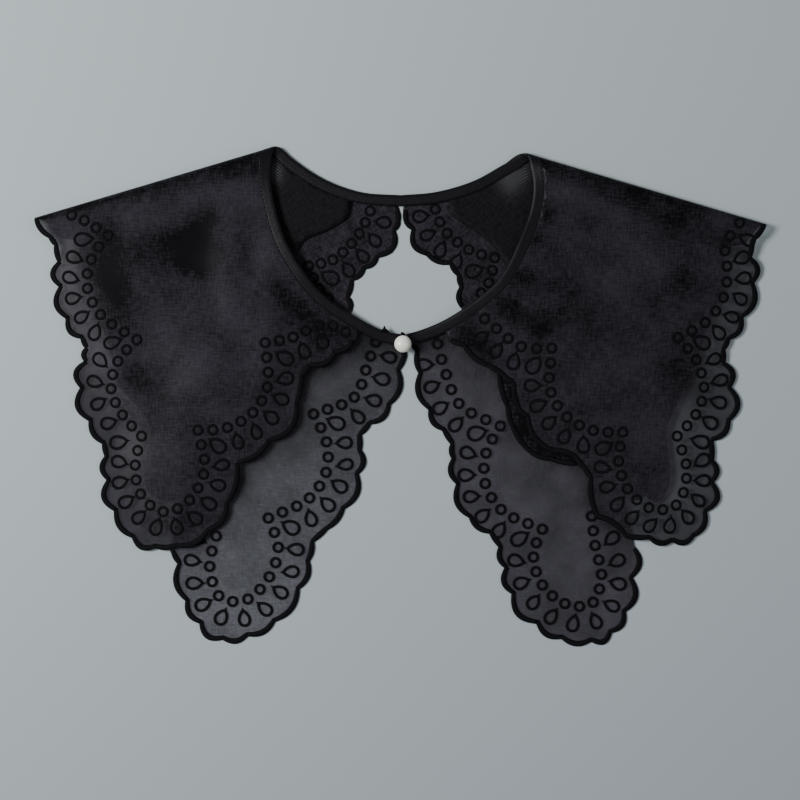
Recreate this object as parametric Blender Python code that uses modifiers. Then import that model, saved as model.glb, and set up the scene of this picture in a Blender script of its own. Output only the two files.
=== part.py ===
"""A detached collar of embroidered organza, laid flat with its front up and its neck seam open in the middle.

Each upper tier is one piece of cloth, folded over at the shoulder: its front lies on top, its back underneath.
A lining lies inside that fold. The lower tiers hang from the front of the neck seam, under the upper fronts.
Lengths are in millimetres until a mesh is made. X runs to the right, Y towards the back neck, Z up."""

import bmesh
import bpy
import numpy as np
from mathutils import Vector
from mathutils.geometry import delaunay_2d_cdt

MM = 0.001

# Walls and the spaces between them
WALL = 1.0            # a layer of cloth
LAYER = 1.5           # from one layer to the next
SEAM_GAP = 0.3        # between two pieces that are sewn together
EASE = 25.0           # how far a layer takes to come down over the edge of the one below
EDGE_MARGIN = 1.5     # how far past a lower edge an upper layer stays up
HEM_LIFT = 0.1        # the free front hems stand this far off the surface

# Mesh fineness
POINT_SPACING = 9.5   # between points inside a panel
HEM_STEPS = 4         # straight stretches in one scallop
SMOOTH_STEP = 8.0     # between points of a plain edge
FOLD_ROWS = 7         # rows of points round the shoulder fold
CLEAR_OF_EDGE = 0.42  # grid points keep this share of their spacing away from an outline
PROBE = 0.4           # half the step used to measure a slope

# Shoulder folds: a half round that is deep at the neck and flat at the tip
FOLD_STRIP = 8.0      # half the strip of cloth that goes round the fold
FOLD_LENGTH = 135.0
FOLD_ROOM = 1.8       # a lining stands this much further in at the fold than between flat layers
FOLD_SEAM_ROOM = 1.4  # extra space beside the binding at the fold
FOLD_TIP = 12.0       # the back's last corner lies this far short of the tip
ROLL_HEIGHT = 3.0     # how far the fold puffs up at the neck
ROLL_FADE = 0.65      # share of the puff that is gone at the tip
ROLL_SPREAD = 16.0    # how far the puff reaches down the front
EDGE_PUFF = 0.35      # share of a soft fold's height that is left at a hem
EDGE_REACH = 14.0     # how far inside the hem a soft fold has its full height, less that share

# Neck binding and button
BINDING_WIDTH = 6.2
BINDING_LIFT = 0.4    # above the front cloth
BINDING_FRONT = 1.5   # thickness along the front
BINDING_BACK = 2.5    # thickness along the back, where it closes cloth and lining
BINDING_ROUND = 0.5   # rounding of its long edges
NECK_STEP = 2.0       # between sections round a shoulder fold
NECK_THINNING = 3     # elsewhere one section in so many is kept
BUTTON_WIDTH = 9.4
BUTTON_HEIGHT = 7.2
BUTTON_SEAT = 5.0     # flat under the button
BUTTON_TOUCH = 2.0    # how far above the middle of the button the binding is highest
BUTTON_ARCS = 8       # straight stretches in its outline
BUTTON_TURNS = 24
BUTTON_PLACE = (1.2, 28.7)

# A fold line runs from the neck to the tip: x, y at the neck, then x, y at the tip
FOLD_LINE = {
    "left": ((-70.8, 136.7), (-200.9, 98.0)),
    "right": ((70.0, 133.1), (200.6, 94.5)),
}
FOLD_DEPTH = {"left": (6.5, 3.0), "right": (8.0, 3.5)}   # at the neck, at the tip

# The middle of the binding: x, y, and 1 on the front, 0 on the fold line, -1 on the back
NECK_LINE = {
    "left": (
        (1.6, 31.0, 1),
        (-9.5, 32.8, 1),
        (-26.8, 41.5, 1),
        (-46.6, 55.8, 1),
        (-64.5, 82.0, 1),
        (-72.7, 108.0, 1),
        (-74.5, 124.5, 1),
        (-71.5, 136.5, 0),
        (-57.5, 125.5, -1),
        (-41.6, 115.8, -1),
        (-22.0, 109.2, -1),
        (0.0, 107.5, -1),
    ),
    "right": (
        (3.6, 31.2, 1),
        (12.3, 33.7, 1),
        (25.5, 39.3, 1),
        (42.5, 50.3, 1),
        (57.4, 64.1, 1),
        (67.3, 83.3, 1),
        (74.4, 103.0, 1),
        (75.5, 118.0, 1),
        (71.5, 132.7, 0),
        (57.5, 124.5, -1),
        (40.9, 115.5, -1),
        (20.0, 109.4, -1),
        (0.0, 107.5, -1),
    ),
}

# Hems of the upper fronts, from the tip round to the neck.
# A row is where a scallop starts, x and y, and its swell as a share of its width.
UPPER_HEM = {
    "left": (
        (-200.9, 98.0, 0.12),
        (-192.9, 86.6, 0.03),
        (-190.1, 82.8, 0.06),
        (-188.5, 74.0, 0.30),
        (-187.9, 60.2, 0.25),
        (-184.1, 42.6, 0.24),
        (-175.8, 31.6, 0.04),
        (-173.6, 26.7, 0.20),
        (-174.2, 19.5, 0.30),
        (-176.4, 4.7, 0.26),
        (-171.7, -13.5, 0.16),
        (-164.3, -26.1, 0.02),
        (-162.9, -32.7, 0.23),
        (-161.8, -45.9, 0.27),
        (-157.7, -63.0, 0.18),
        (-147.8, -77.8, 0.26),
        (-134.6, -83.3, 0.10),
        (-123.0, -82.8, 0.17),
        (-104.9, -74.0, 0.18),
        (-94.2, -59.1, 0.10),
        (-88.4, -37.1, 0.12),
        (-71.3, -25.0, 0.22),
        (-55.9, -3.6, 0.05),
        (-53.2, 11.3, 0.05),
        (-49.3, 16.2, 0.18),
        (-35.0, 23.4, 0.15),
        (-24.6, 31.1, 0.0),
    ),
    "right": (
        (200.6, 94.5, 0.06),
        (193.8, 85.0, 0.03),
        (192.7, 76.5, 0.27),
        (194.3, 62.4, 0.22),
        (188.3, 43.2, 0.21),
        (181.1, 31.1, 0.03),
        (178.4, 25.6, 0.02),
        (178.4, 19.0, 0.26),
        (181.9, 5.2, 0.26),
        (181.4, -13.5, 0.20),
        (172.0, -24.5, 0.02),
        (172.3, -34.9, 0.23),
        (172.3, -47.0, 0.29),
        (168.5, -63.5, 0.19),
        (161.6, -77.3, 0.24),
        (149.2, -80.0, 0.20),
        (136.0, -78.4, 0.06),
        (122.8, -77.3, -0.10),
        (107.4, -66.8, 0.09),
        (103.0, -44.8, 0.02),
        (99.7, -39.9, 0.02),
        (94.5, -33.5, -0.05),
        (82.7, -30.5, 0.16),
        (68.4, -11.3, 0.10),
        (62.9, -6.3, 0.06),
        (60.7, 7.4, 0.10),
        (56.8, 9.6, -0.04),
        (47.5, 15.7, 0.08),
        (33.7, 27.2, 0.0),
    ),
}

# Hems of the backs that show in the neck opening, from the back neck down
BACK_HEM = {
    "left": (
        (-0.9, 103.6, 0.05),
        (0.0, 96.5, 0.10),
        (-2.6, 91.0, 0.15),
        (-4.8, 78.9, 0.02),
        (-11.9, 76.2, 0.15),
        (-19.1, 69.9, 0.12),
        (-25.7, 63.5, 0.05),
        (-27.9, 54.7, 0.15),
        (-26.8, 46.5, 0.0),
    ),
    "right": (
        (1.3, 103.6, 0.03),
        (1.8, 95.4, 0.04),
        (5.7, 91.6, 0.25),
        (13.9, 77.3, 0.12),
        (26.6, 72.3, 0.05),
        (30.7, 66.3, 0.04),
        (32.1, 60.2, 0.18),
        (33.4, 48.1, 0.0),
    ),
}

# The rest of the back's edge, plain where the front hides it, on to the shoulder fold: x, y
BACK_EDGE = {
    "left": (
        (-26.8, 46.5),
        (-38.0, 29.0),
        (-62.0, 12.0),
        (-68.0, -8.0),
        (-88.0, -26.0),
        (-104.0, -42.0),
        (-120.0, -51.0),
        (-131.0, -40.0),
        (-133.0, -16.0),
        (-149.0, 12.0),
        (-160.0, 40.0),
        (-169.0, 66.0),
        (-174.5, 101.0),
    ),
    "right": (
        (33.4, 48.1),
        (42.0, 30.0),
        (55.0, 13.0),
        (57.5, -6.0),
        (60.0, -16.0),
        (69.0, -30.0),
        (82.0, -35.5),
        (98.0, -38.5),
        (112.0, -50.0),
        (130.0, -57.0),
        (142.0, -46.0),
        (143.0, -20.0),
        (150.0, 6.0),
        (160.0, 34.0),
        (169.0, 62.0),
        (174.5, 97.0),
    ),
}

# Smooth edges of the lining's front and back, from the neck round to the shoulder fold: x, y
LINING_FRONT_EDGE = {
    "left": (
        (-47.5, 50.5),
        (-62.0, 38.0),
        (-78.0, 32.0),
        (-78.0, 8.0),
        (-90.0, -7.0),
        (-114.0, -14.0),
        (-114.0, -44.0),
        (-127.0, -57.5),
        (-140.0, -49.0),
        (-138.0, -15.0),
        (-154.0, 6.0),
        (-163.0, 36.0),
        (-177.0, 58.0),
        (-176.0, 82.0),
        (-177.0, 100.0),
    ),
    "right": (
        (50.0, 50.5),
        (66.0, 35.5),
        (87.0, 30.0),
        (88.0, 6.0),
        (102.0, -10.0),
        (126.0, -14.0),
        (128.0, -46.0),
        (140.0, -58.0),
        (147.5, -48.0),
        (146.0, -18.0),
        (158.0, 8.0),
        (168.0, 36.0),
        (177.0, 60.0),
        (177.0, 82.0),
        (177.5, 96.0),
    ),
}
LINING_BACK_EDGE = {
    "left": (
        (-27.9, 102.0),
        (-30.0, 98.0),
        (-40.0, 91.5),
        (-54.5, 84.5),
        (-58.5, 72.0),
        (-66.0, 48.0),
        (-79.0, 20.0),
        (-94.0, -6.0),
        (-114.0, -26.0),
        (-125.0, -36.0),
        (-128.0, -16.0),
        (-144.0, 14.0),
        (-156.0, 44.0),
        (-165.0, 72.0),
        (-170.0, 103.0),
    ),
    "right": (
        (27.1, 101.0),
        (30.0, 97.5),
        (38.0, 92.5),
        (50.5, 83.0),
        (58.5, 70.0),
        (69.0, 46.0),
        (83.0, 18.0),
        (99.0, -8.0),
        (120.0, -30.0),
        (134.0, -38.0),
        (137.0, -14.0),
        (145.0, 12.0),
        (156.0, 42.0),
        (165.0, 70.0),
        (170.0, 99.0),
    ),
}

# Hems of the lower tiers, from the centre front round to where the upper tier covers them
LOWER_HEM = {
    "left": (
        (2.4, 28.0, 0.0),
        (3.5, 22.3, 0.04),
        (-0.1, 14.6, 0.18),
        (-5.3, -4.7, 0.20),
        (-16.3, -15.5, 0.05),
        (-21.3, -21.2, 0.02),
        (-21.3, -29.4, 0.22),
        (-22.9, -42.6, 0.20),
        (-30.6, -61.9, 0.10),
        (-40.0, -73.4, 0.02),
        (-47.4, -80.0, 0.08),
        (-49.9, -90.5, 0.17),
        (-55.4, -105.9, 0.17),
        (-68.9, -124.0, 0.17),
        (-84.0, -132.0, 0.20),
        (-98.0, -133.9, 0.27),
        (-110.9, -124.9, 0.20),
        (-118.6, -112.5, 0.19),
        (-123.0, -91.9, 0.04),
        (-126.9, -84.5, 0.0),
    ),
    "right": (
        (5.5, 28.0, 0.0),
        (7.9, 25.0, 0.10),
        (9.5, 12.9, 0.19),
        (15.0, -7.4, 0.19),
        (22.7, -19.0, 0.02),
        (27.1, -26.1, 0.10),
        (27.7, -34.1, 0.20),
        (30.2, -48.1, 0.21),
        (37.3, -66.8, 0.15),
        (48.6, -75.6, 0.02),
        (53.5, -82.8, 0.18),
        (56.8, -94.3, 0.23),
        (60.7, -108.6, 0.25),
        (74.4, -125.1, 0.20),
        (88.2, -133.4, 0.18),
        (104.7, -135.0, 0.30),
        (116.2, -130.1, 0.23),
        (123.9, -118.5, 0.24),
        (127.8, -99.8, 0.25),
        (128.6, -82.0, 0.0),
    ),
}

# The lower tier's outer edge, plain because the upper tier hides it, up to the neck: x, y
LOWER_EDGE = {
    "left": (
        (-126.9, -84.5),
        (-122.0, -60.0),
        (-108.0, -10.0),
        (-84.0, 42.0),
        (-63.0, 76.0),
    ),
    "right": (
        (128.6, -82.0),
        (124.0, -60.0),
        (112.0, -10.0),
        (88.0, 42.0),
        (65.5, 76.0),
    ),
}

# Largest folds of the fronts: from x, y to x, y, then height and half width
FRONT_FOLDS = {
    "left": (
        (-98.0, 104.0, -90.0, 55.0, 2.2, 12.0),
        (-126.0, 29.0, -92.0, 7.0, 1.6, 12.0),
        (-131.0, 103.0, -150.0, 60.0, 1.4, 13.0),
        (-66.0, 40.0, -74.0, 10.0, 1.0, 11.0),
    ),
    "right": (
        (84.0, 112.0, 96.0, 94.0, 2.0, 12.0),
        (76.0, 76.0, 108.0, 74.0, 1.9, 10.0),
        (70.0, 47.0, 104.0, 56.0, 1.7, 10.0),
        (120.0, 96.0, 146.0, 66.0, 1.4, 13.0),
        (112.0, 24.0, 134.0, 8.0, 1.4, 12.0),
    ),
}

FINISHES = {
    # colour, roughness
    "organza": ((0.020, 0.020, 0.024), 0.55),
    "lining": ((0.006, 0.006, 0.007), 0.60),
    "satin": ((0.008, 0.008, 0.010), 0.35),
    "pearl": ((0.80, 0.78, 0.72), 0.18),
}


def smooth_line(rows, step):
    """Points about step apart on a curve through the rows (centripetal Catmull-Rom)."""
    knots = np.array(rows, float)
    ends = 2 * knots[0] - knots[1], 2 * knots[-1] - knots[-2]
    knots = np.vstack([ends[0], knots, ends[1]])
    line = []
    for before, start, stop, after in zip(knots, knots[1:], knots[2:], knots[3:]):
        count = max(1, round(np.linalg.norm(stop - start) / step))
        gaps = [np.sqrt(np.linalg.norm(b - a)) for a, b in ((before, start), (start, stop), (stop, after))]
        leave = (start - before) / gaps[0] - (stop - before) / (gaps[0] + gaps[1]) + (stop - start) / gaps[1]
        reach = (stop - start) / gaps[1] - (after - start) / (gaps[1] + gaps[2]) + (after - stop) / gaps[2]
        t = (np.arange(count) / count)[:, None]
        line.append(
            (2 * t**3 - 3 * t**2 + 1) * start
            + (t**3 - 2 * t**2 + t) * leave * gaps[1]
            + (3 * t**2 - 2 * t**3) * stop
            + (t**3 - t**2) * reach * gaps[1]
        )
    return np.vstack(line + [knots[-2:-1]])


def scallops(rows, outward):
    """A hem of scallops: each is a parabola on its chord, swelling to the side that outward gives."""
    rows = np.array(rows, float)
    start, stop, swell = rows[:-1, :2], rows[1:, :2], rows[:-1, 2]
    chord = stop - start
    across = np.stack([chord[:, 1], -chord[:, 0]], axis=1) * outward
    t = (np.arange(HEM_STEPS) / HEM_STEPS)[None, :, None]
    points = start[:, None] + t * chord[:, None] + 4 * t * (1 - t) * swell[:, None, None] * across[:, None]
    return np.vstack([points.reshape(-1, 2), rows[-1:, :2]])


def beside(line, distance):
    """The line moved sideways, to its right where distance is positive."""
    along = np.gradient(line, axis=0)
    along /= np.linalg.norm(along, axis=1)[:, None]
    return line + np.stack([along[:, 1], -along[:, 0]], axis=1) * np.reshape(distance, (-1, 1))


def depth_inside(outline, points):
    """How far each point lies inside a closed outline, negative outside it."""
    start, stop = outline, np.roll(outline, -1, axis=0)
    edge = stop - start
    rel = points[:, None] - start[None]
    share = np.clip((rel * edge).sum(2) / np.maximum((edge**2).sum(1), 1e-9), 0, 1)
    away = np.linalg.norm(rel - share[..., None] * edge, axis=2).min(axis=1)
    straddles = (start[:, 1] > points[:, None, 1]) != (stop[:, 1] > points[:, None, 1])
    rise = np.where(edge[:, 1] == 0, 1.0, edge[:, 1])
    crossing = start[:, 0] + (points[:, None, 1] - start[:, 1]) * edge[:, 0] / rise
    inside = (straddles & (points[:, None, 0] < crossing)).sum(axis=1) % 2 == 1
    return np.where(inside, away, -away)


def ease(share):
    """A smooth step from 0 to 1."""
    share = np.clip(share, 0, 1)
    return share * share * (3 - 2 * share)


class Side:
    """One half of the collar: its edges in plan, the heights of its layers and the way it folds over."""

    def __init__(self, name):
        self.name = name
        self.outward = 1 if name == "left" else -1
        self.origin = np.array(FOLD_LINE[name][0])
        along = np.array(FOLD_LINE[name][1]) - self.origin
        self.along = along / np.linalg.norm(along)
        self.down = np.array([-self.along[1], self.along[0]]) * self.outward
        self.neck = self.neck_line()
        self.layers = [
            self.back_outline(),
            self.lining_outline(LINING_BACK_EDGE[name], -1),
            self.lower_outline(),
            self.lining_outline(LINING_FRONT_EDGE[name], 1),
        ]

    def fold_depth(self, u):
        """How far the fold's half round reaches in from the fold line."""
        at_neck, at_tip = FOLD_DEPTH[self.name]
        return at_neck + (at_tip - at_neck) * np.clip(u / FOLD_LENGTH, 0, 1)

    def pattern(self, xy, face):
        """Where a point of the laid collar lies on the unfolded cloth: u along the fold, v across it."""
        rel = np.atleast_2d(xy)[:, :2] - self.origin
        u, d = rel @ self.along, rel @ self.down
        depth = self.fold_depth(u)
        round_part = FOLD_STRIP * np.arccos(np.clip(1 - d / depth, -1, 1)) * 2 / np.pi
        v = np.where(d < depth, round_part, d - depth + FOLD_STRIP)
        return np.stack([u, v * face], axis=1)

    def neck_line(self):
        """The middle of the binding on the unfolded cloth, with its sections closest round the fold."""
        rows = np.array(NECK_LINE[self.name], float)
        line = smooth_line(self.pattern(rows[:, :2], rows[:, 2]), NECK_STEP)
        number = np.arange(len(line))
        kept = (np.abs(line[:, 1]) < FOLD_STRIP + NECK_STEP) | (number % NECK_THINNING == 0)
        kept[-2:] = False, True
        return line[kept]

    def plan(self, uv, inset=0.0):
        """The reverse of pattern: x and y of the laid cloth, and the angle round the fold."""
        u, v = uv[:, 0], uv[:, 1]
        depth = self.fold_depth(u)
        angle = np.clip(v / FOLD_STRIP, -1, 1) * np.pi / 2
        d = np.maximum(np.abs(v) - FOLD_STRIP, 0) + inset + (depth - inset) * (1 - np.cos(angle))
        return self.origin + u[:, None] * self.along + d[:, None] * self.down, angle

    def seam_line(self):
        """The neck edge of the cloth beside the binding, a little wider where it goes round the fold."""
        round_part = 1 - ease(np.abs(self.neck[:, 1]) / (2 * FOLD_STRIP))
        return beside(self.neck, -BINDING_WIDTH / 2 - SEAM_GAP - FOLD_SEAM_ROOM * round_part)

    def fold_line(self):
        """The fold line in plan, from the tip to the neck."""
        return np.vstack([self.origin + FOLD_LENGTH * self.along, self.origin])

    def lining_outline(self, edge, face):
        """The outline in plan of the lining's front or back."""
        line = smooth_line(edge, SMOOTH_STEP)
        neck = self.plan(self.neck[self.neck[:, 1] * face > 0])[0][::-face]
        near = np.linalg.norm(neck - line[0], axis=1).argmin()
        return np.vstack([line, self.fold_line(), neck[:near]])

    def back_outline(self):
        """The back's outline in plan."""
        hem = scallops(BACK_HEM[self.name], -self.outward)
        edge = smooth_line(BACK_EDGE[self.name], SMOOTH_STEP)[1:]
        return np.vstack([hem, edge, self.fold_line()])

    def lower_outline(self):
        """The lower tier's outline in plan, tucked half under the binding."""
        front = self.plan(self.neck[self.neck[:, 1] > FOLD_STRIP])[0]
        last = np.linalg.norm(front - np.array(LOWER_EDGE[self.name][-1]), axis=1).argmin()
        hem = scallops(LOWER_HEM[self.name], -self.outward)
        hidden = smooth_line(LOWER_EDGE[self.name], SMOOTH_STEP)[1:-1]
        return np.vstack([hem, hidden, front[last:0:-1]])

    def cover(self, layer, xy):
        """1 over a lower layer, easing to 0 beyond its edge."""
        away = -depth_inside(self.layers[layer], xy) - EDGE_MARGIN
        return 1 - ease(away / EASE)

    def folds(self, xy):
        """Height of the front's soft folds and of the puff along the shoulder."""
        rel = xy - self.origin
        u, d = rel @ self.along, np.maximum(rel @ self.down, 0)
        full = ROLL_HEIGHT * (1 - ROLL_FADE * ease(u / FOLD_LENGTH))
        height = full * np.exp(-((d / ROLL_SPREAD) ** 2))
        for x0, y0, x1, y1, rise, width in FRONT_FOLDS[self.name]:
            start, run = np.array([x0, y0]), np.array([x1 - x0, y1 - y0])
            share = np.clip((xy - start) @ run / (run @ run), 0, 1)
            away = np.linalg.norm(xy - start - share[:, None] * run, axis=1)
            height = height + rise * np.exp(-((away / width) ** 2))
        inside = depth_inside(self.front_plan(), xy)
        return height * ease(inside / EDGE_REACH + EDGE_PUFF)

    def front_plan(self):
        """The upper front's outline in plan."""
        hem = scallops(UPPER_HEM[self.name], self.outward)
        return np.vstack([hem, self.plan(self.neck[self.neck[:, 1] > 0])[0], self.origin])

    def front_height(self, xy):
        """Top of the upper front."""
        stack = sum(self.cover(layer, xy) for layer in range(4))
        return WALL + HEM_LIFT + LAYER * stack + self.folds(xy)

    def lower_height(self, xy):
        """Underside of the lower tier."""
        return LAYER * (self.cover(0, xy) + self.cover(1, xy))

    def laid(self, uv, inset=0.0):
        """Outer face of the folded cloth, or of a lining inset inside it: underside, round, then top."""
        xy, angle = self.plan(uv, inset * FOLD_ROOM)
        top = self.front_height(xy) - inset
        z = np.where(uv[:, 1] >= FOLD_STRIP, top, inset + (top - inset) * (1 + np.sin(angle)) / 2)
        z = np.where(uv[:, 1] <= -FOLD_STRIP, inset, z)
        return np.column_stack([xy, z])

    def facing(self, uv):
        """Unit normals of the folded cloth's outer face."""
        step = np.array([[PROBE, 0.0], [0.0, PROBE]])
        along = self.laid(uv + step[0]) - self.laid(uv - step[0])
        over = self.laid(uv + step[1]) - self.laid(uv - step[1])
        out = np.cross(along, over) * self.outward
        return out / np.linalg.norm(out, axis=1)[:, None]


def panel_points(outline, strip=False):
    """Points inside an outline: a triangular grid, and even rows round a shoulder fold."""
    rise = POINT_SPACING * np.sqrt(3) / 2
    steps = np.array([POINT_SPACING, rise])
    low, high = np.floor(outline.min(axis=0) / steps), np.ceil(outline.max(axis=0) / steps)
    row, column = np.meshgrid(np.arange(low[1], high[1]), np.arange(low[0] - 1, high[0]), indexing="ij")
    grid = np.column_stack([(column + row % 2 / 2).ravel() * POINT_SPACING, row.ravel() * rise])
    if strip:
        grid = grid[np.abs(grid[:, 1]) > FOLD_STRIP + POINT_SPACING / 3]
        rows = np.linspace(-FOLD_STRIP, FOLD_STRIP, FOLD_ROWS)
        along = np.arange(low[0], high[0]) * POINT_SPACING
        grid = np.vstack([grid, np.array([(a, b) for b in rows for a in along])])
    return grid[depth_inside(outline, grid) > POINT_SPACING * CLEAR_OF_EDGE]


def filled(outline, points):
    """Triangles that fill an outline through its inner points, wound anticlockwise."""
    corners = [Vector(p) for p in np.vstack([outline, points])]
    edges = [(i, (i + 1) % len(outline)) for i in range(len(outline))]
    flat, _, faces, *_ = delaunay_2d_cdt(corners, edges, [], 1, 1e-4)
    return np.array([tuple(p) for p in flat]), faces


def finish(name):
    """The material of that name."""
    colour, roughness = FINISHES[name]
    made = bpy.data.materials.get(name)
    if made is None:
        made = bpy.data.materials.new(name)
        made.use_nodes = True
        made.diffuse_color = (*colour, 1.0)
        shader = made.node_tree.nodes["Principled BSDF"]
        shader.inputs["Base Color"].default_value = (*colour, 1.0)
        shader.inputs["Roughness"].default_value = roughness
        shader.inputs["Metallic"].default_value = 0.0
    return made


def piece(name, points, faces, finish_name):
    """An object of the collar from points in millimetres."""
    mesh = bpy.data.meshes.new(name)
    mesh.from_pydata((np.asarray(points) * MM).tolist(), [], [list(face) for face in faces])
    mesh.materials.append(finish(finish_name))
    mesh.shade_smooth()
    made = bpy.data.objects.new(name, mesh)
    collar.objects.link(made)
    return made


def thicken(sheet, inward):
    """Give an open sheet its wall, on the inner side or the outer side of its faces."""
    wall = sheet.modifiers.new("Wall", "SOLIDIFY")
    wall.thickness = WALL * MM
    wall.offset = -1.0 if inward else 1.0
    wall.use_even_offset = True
    wall.use_rim = True


def folded_piece(name, side, outline, inset, finish_name):
    """A piece folded over at the shoulder, from its outline on the flat cloth."""
    flat, faces = filled(outline, panel_points(outline, strip=True))
    points = side.laid(flat, inset)
    if side.outward < 0:
        faces = [face[::-1] for face in faces]
    thicken(piece(name, points, faces, finish_name), inward=True)


def upper_tier(side):
    """Front and back in one: hem, neck seam and the plain edge that the front hides."""
    name = side.name
    seam = side.seam_line()
    hem = side.pattern(scallops(UPPER_HEM[name], side.outward), 1)
    first = np.linalg.norm(seam - hem[-1], axis=1).argmin()
    back = side.pattern(scallops(BACK_HEM[name], -side.outward), -1)
    last = np.linalg.norm(seam - back[0], axis=1).argmin()
    plain = side.pattern(smooth_line(BACK_EDGE[name], SMOOTH_STEP)[1:], -1)
    tip = np.array([[FOLD_LENGTH - FOLD_TIP, -FOLD_STRIP / 2]])
    outline = np.vstack([hem, seam[first + 1:last], back, plain, tip])
    folded_piece(f"upper_{name}", side, outline, 0.0, "organza")


def lining(side):
    """The lining's front and back in one, inside the upper tier's fold."""
    name = side.name
    seam = side.seam_line()
    front = side.pattern(smooth_line(LINING_FRONT_EDGE[name], SMOOTH_STEP), 1)[::-1]
    back = side.pattern(smooth_line(LINING_BACK_EDGE[name], SMOOTH_STEP), -1)
    first = np.linalg.norm(seam - front[-1], axis=1).argmin()
    last = np.linalg.norm(seam - back[0], axis=1).argmin()
    outline = np.vstack([front, seam[first + 1:last], back])
    folded_piece(f"lining_{name}", side, outline, LAYER, "lining")


def lower_tier(side):
    """The sheer front tier, whose hem shows below and between the upper fronts."""
    outline = side.layers[2]
    flat, faces = filled(outline, panel_points(outline))
    points = np.column_stack([flat, side.lower_height(flat)])
    thicken(piece(f"lower_{side.name}", points, faces, "organza"), inward=False)


def binding_sections(side):
    """Closed sections of the binding, from the centre front to the centre back."""
    line = side.neck
    across = beside(line, BINDING_WIDTH / 2) - line
    front = ease((line[:, 1] + FOLD_STRIP) / (2 * FOLD_STRIP))
    lift = BINDING_LIFT * front
    base = lift - BINDING_BACK - (BINDING_FRONT - BINDING_BACK) * front
    inner = 1 - 2 * BINDING_ROUND / BINDING_WIDTH
    rim = []
    for place, height in (
        (-1, lift - BINDING_ROUND),
        (-inner, lift),
        (inner, lift),
        (1, lift - BINDING_ROUND),
        (1, base + BINDING_ROUND),
        (inner, base),
        (-inner, base),
        (-1, base + BINDING_ROUND),
    ):
        spots = line + place * across
        rim.append(side.laid(spots) + height[:, None] * side.facing(spots))
    sections = np.stack(rim, axis=1)
    sections[:, :, 2] = np.maximum(sections[:, :, 2], 0.0)
    return sections


def neck_binding(left, right):
    """One bias strip round the neck, open at the centre front."""
    strip = np.concatenate([binding_sections(left), binding_sections(right)[::-1][1:]])
    count, around = strip.shape[:2]
    index = np.arange(count * around).reshape(count, around)
    ring = np.roll(index, -1, axis=1)
    quads = np.stack([index[:-1], ring[:-1], ring[1:], index[1:]], axis=2).reshape(-1, 4)
    caps = [index[0][::-1], index[-1]]
    made = piece("neck_binding", strip.reshape(-1, 3), [*quads, *caps], "satin")
    shell = bmesh.new()
    shell.from_mesh(made.data)
    bmesh.ops.recalc_face_normals(shell, faces=shell.faces[:])
    shell.to_mesh(made.data)
    shell.free()


def button(left):
    """A pearl turned about its own axis, flat where it sits on the binding."""
    x, y = BUTTON_PLACE
    seat = left.front_height(np.array([[x, y + BUTTON_TOUCH]]))[0] + BINDING_LIFT + SEAM_GAP
    low = -np.sqrt(1 - (BUTTON_SEAT / BUTTON_WIDTH) ** 2)
    turns = np.linspace(np.arcsin(low), np.pi / 2, BUTTON_ARCS + 1)
    height = (np.sin(turns) - low) / (1 - low) * BUTTON_HEIGHT
    profile = np.column_stack([np.cos(turns) * BUTTON_WIDTH / 2, 0 * turns, height])
    profile[-1, 0] = 0.0
    profile = np.vstack([[0.0, 0.0, 0.0], profile])[::-1]
    made = piece("pearl_button", profile, [], "pearl")
    made.data.edges.add(len(profile) - 1)
    made.data.edges.foreach_set("vertices", [n for i in range(len(profile) - 1) for n in (i, i + 1)])
    made.location = Vector((x, y, seat)) * MM
    turned = made.modifiers.new("Turned", "SCREW")
    turned.steps = BUTTON_TURNS
    turned.render_steps = BUTTON_TURNS
    turned.use_merge_vertices = True
    turned.merge_threshold = 0.00001


for old in list(bpy.data.objects):
    bpy.data.objects.remove(old, do_unlink=True)
collar = bpy.data.collections.new("embroidered_collar")
bpy.context.scene.collection.children.link(collar)

halves = {name: Side(name) for name in ("left", "right")}
for half in halves.values():
    upper_tier(half)
    lining(half)
    lower_tier(half)
neck_binding(halves["left"], halves["right"])
button(halves["left"])
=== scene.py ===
# %% [markdown]
# # A detached collar of embroidered organza
# The collar lies flat on a pale surface, its front up and its pearl fastened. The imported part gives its
# solids: two upper tiers folded at the shoulder, their linings, two sheer lower tiers, the binding of the
# neck and the pearl. This lesson dresses them. Each solid is replaced by thin cloth on the same form, and
# the thread work, which the solids leave out, is laid on it.
#
# Lengths are in millimetres until a mesh is made. X runs to the right, Y towards the back neck, Z up.

import bmesh
import bpy
import numpy as np
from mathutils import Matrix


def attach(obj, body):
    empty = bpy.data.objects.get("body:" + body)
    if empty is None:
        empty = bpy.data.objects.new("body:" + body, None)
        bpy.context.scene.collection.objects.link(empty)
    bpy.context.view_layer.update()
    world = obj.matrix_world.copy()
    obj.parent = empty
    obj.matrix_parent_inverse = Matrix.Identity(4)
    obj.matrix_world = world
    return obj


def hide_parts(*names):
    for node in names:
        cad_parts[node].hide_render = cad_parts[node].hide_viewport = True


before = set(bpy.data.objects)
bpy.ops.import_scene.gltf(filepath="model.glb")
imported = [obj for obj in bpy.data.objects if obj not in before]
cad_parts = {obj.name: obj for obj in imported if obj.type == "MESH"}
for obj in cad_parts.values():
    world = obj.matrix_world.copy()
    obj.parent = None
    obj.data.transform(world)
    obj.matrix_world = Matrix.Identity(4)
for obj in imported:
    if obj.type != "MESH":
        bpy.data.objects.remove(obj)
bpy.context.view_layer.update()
MM = 0.001
print("solids:", sorted(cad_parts))

# %% [markdown]
# ## The cut
# A collar maker works from paper patterns. Here the patterns are short tables, each row a point where an
# edge changes its course. The hems are rows of scallops: a row gives where a scallop starts and how far it
# swells, as a share of its own width. The same tables shape the solids, so cloth and solid agree.

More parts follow.
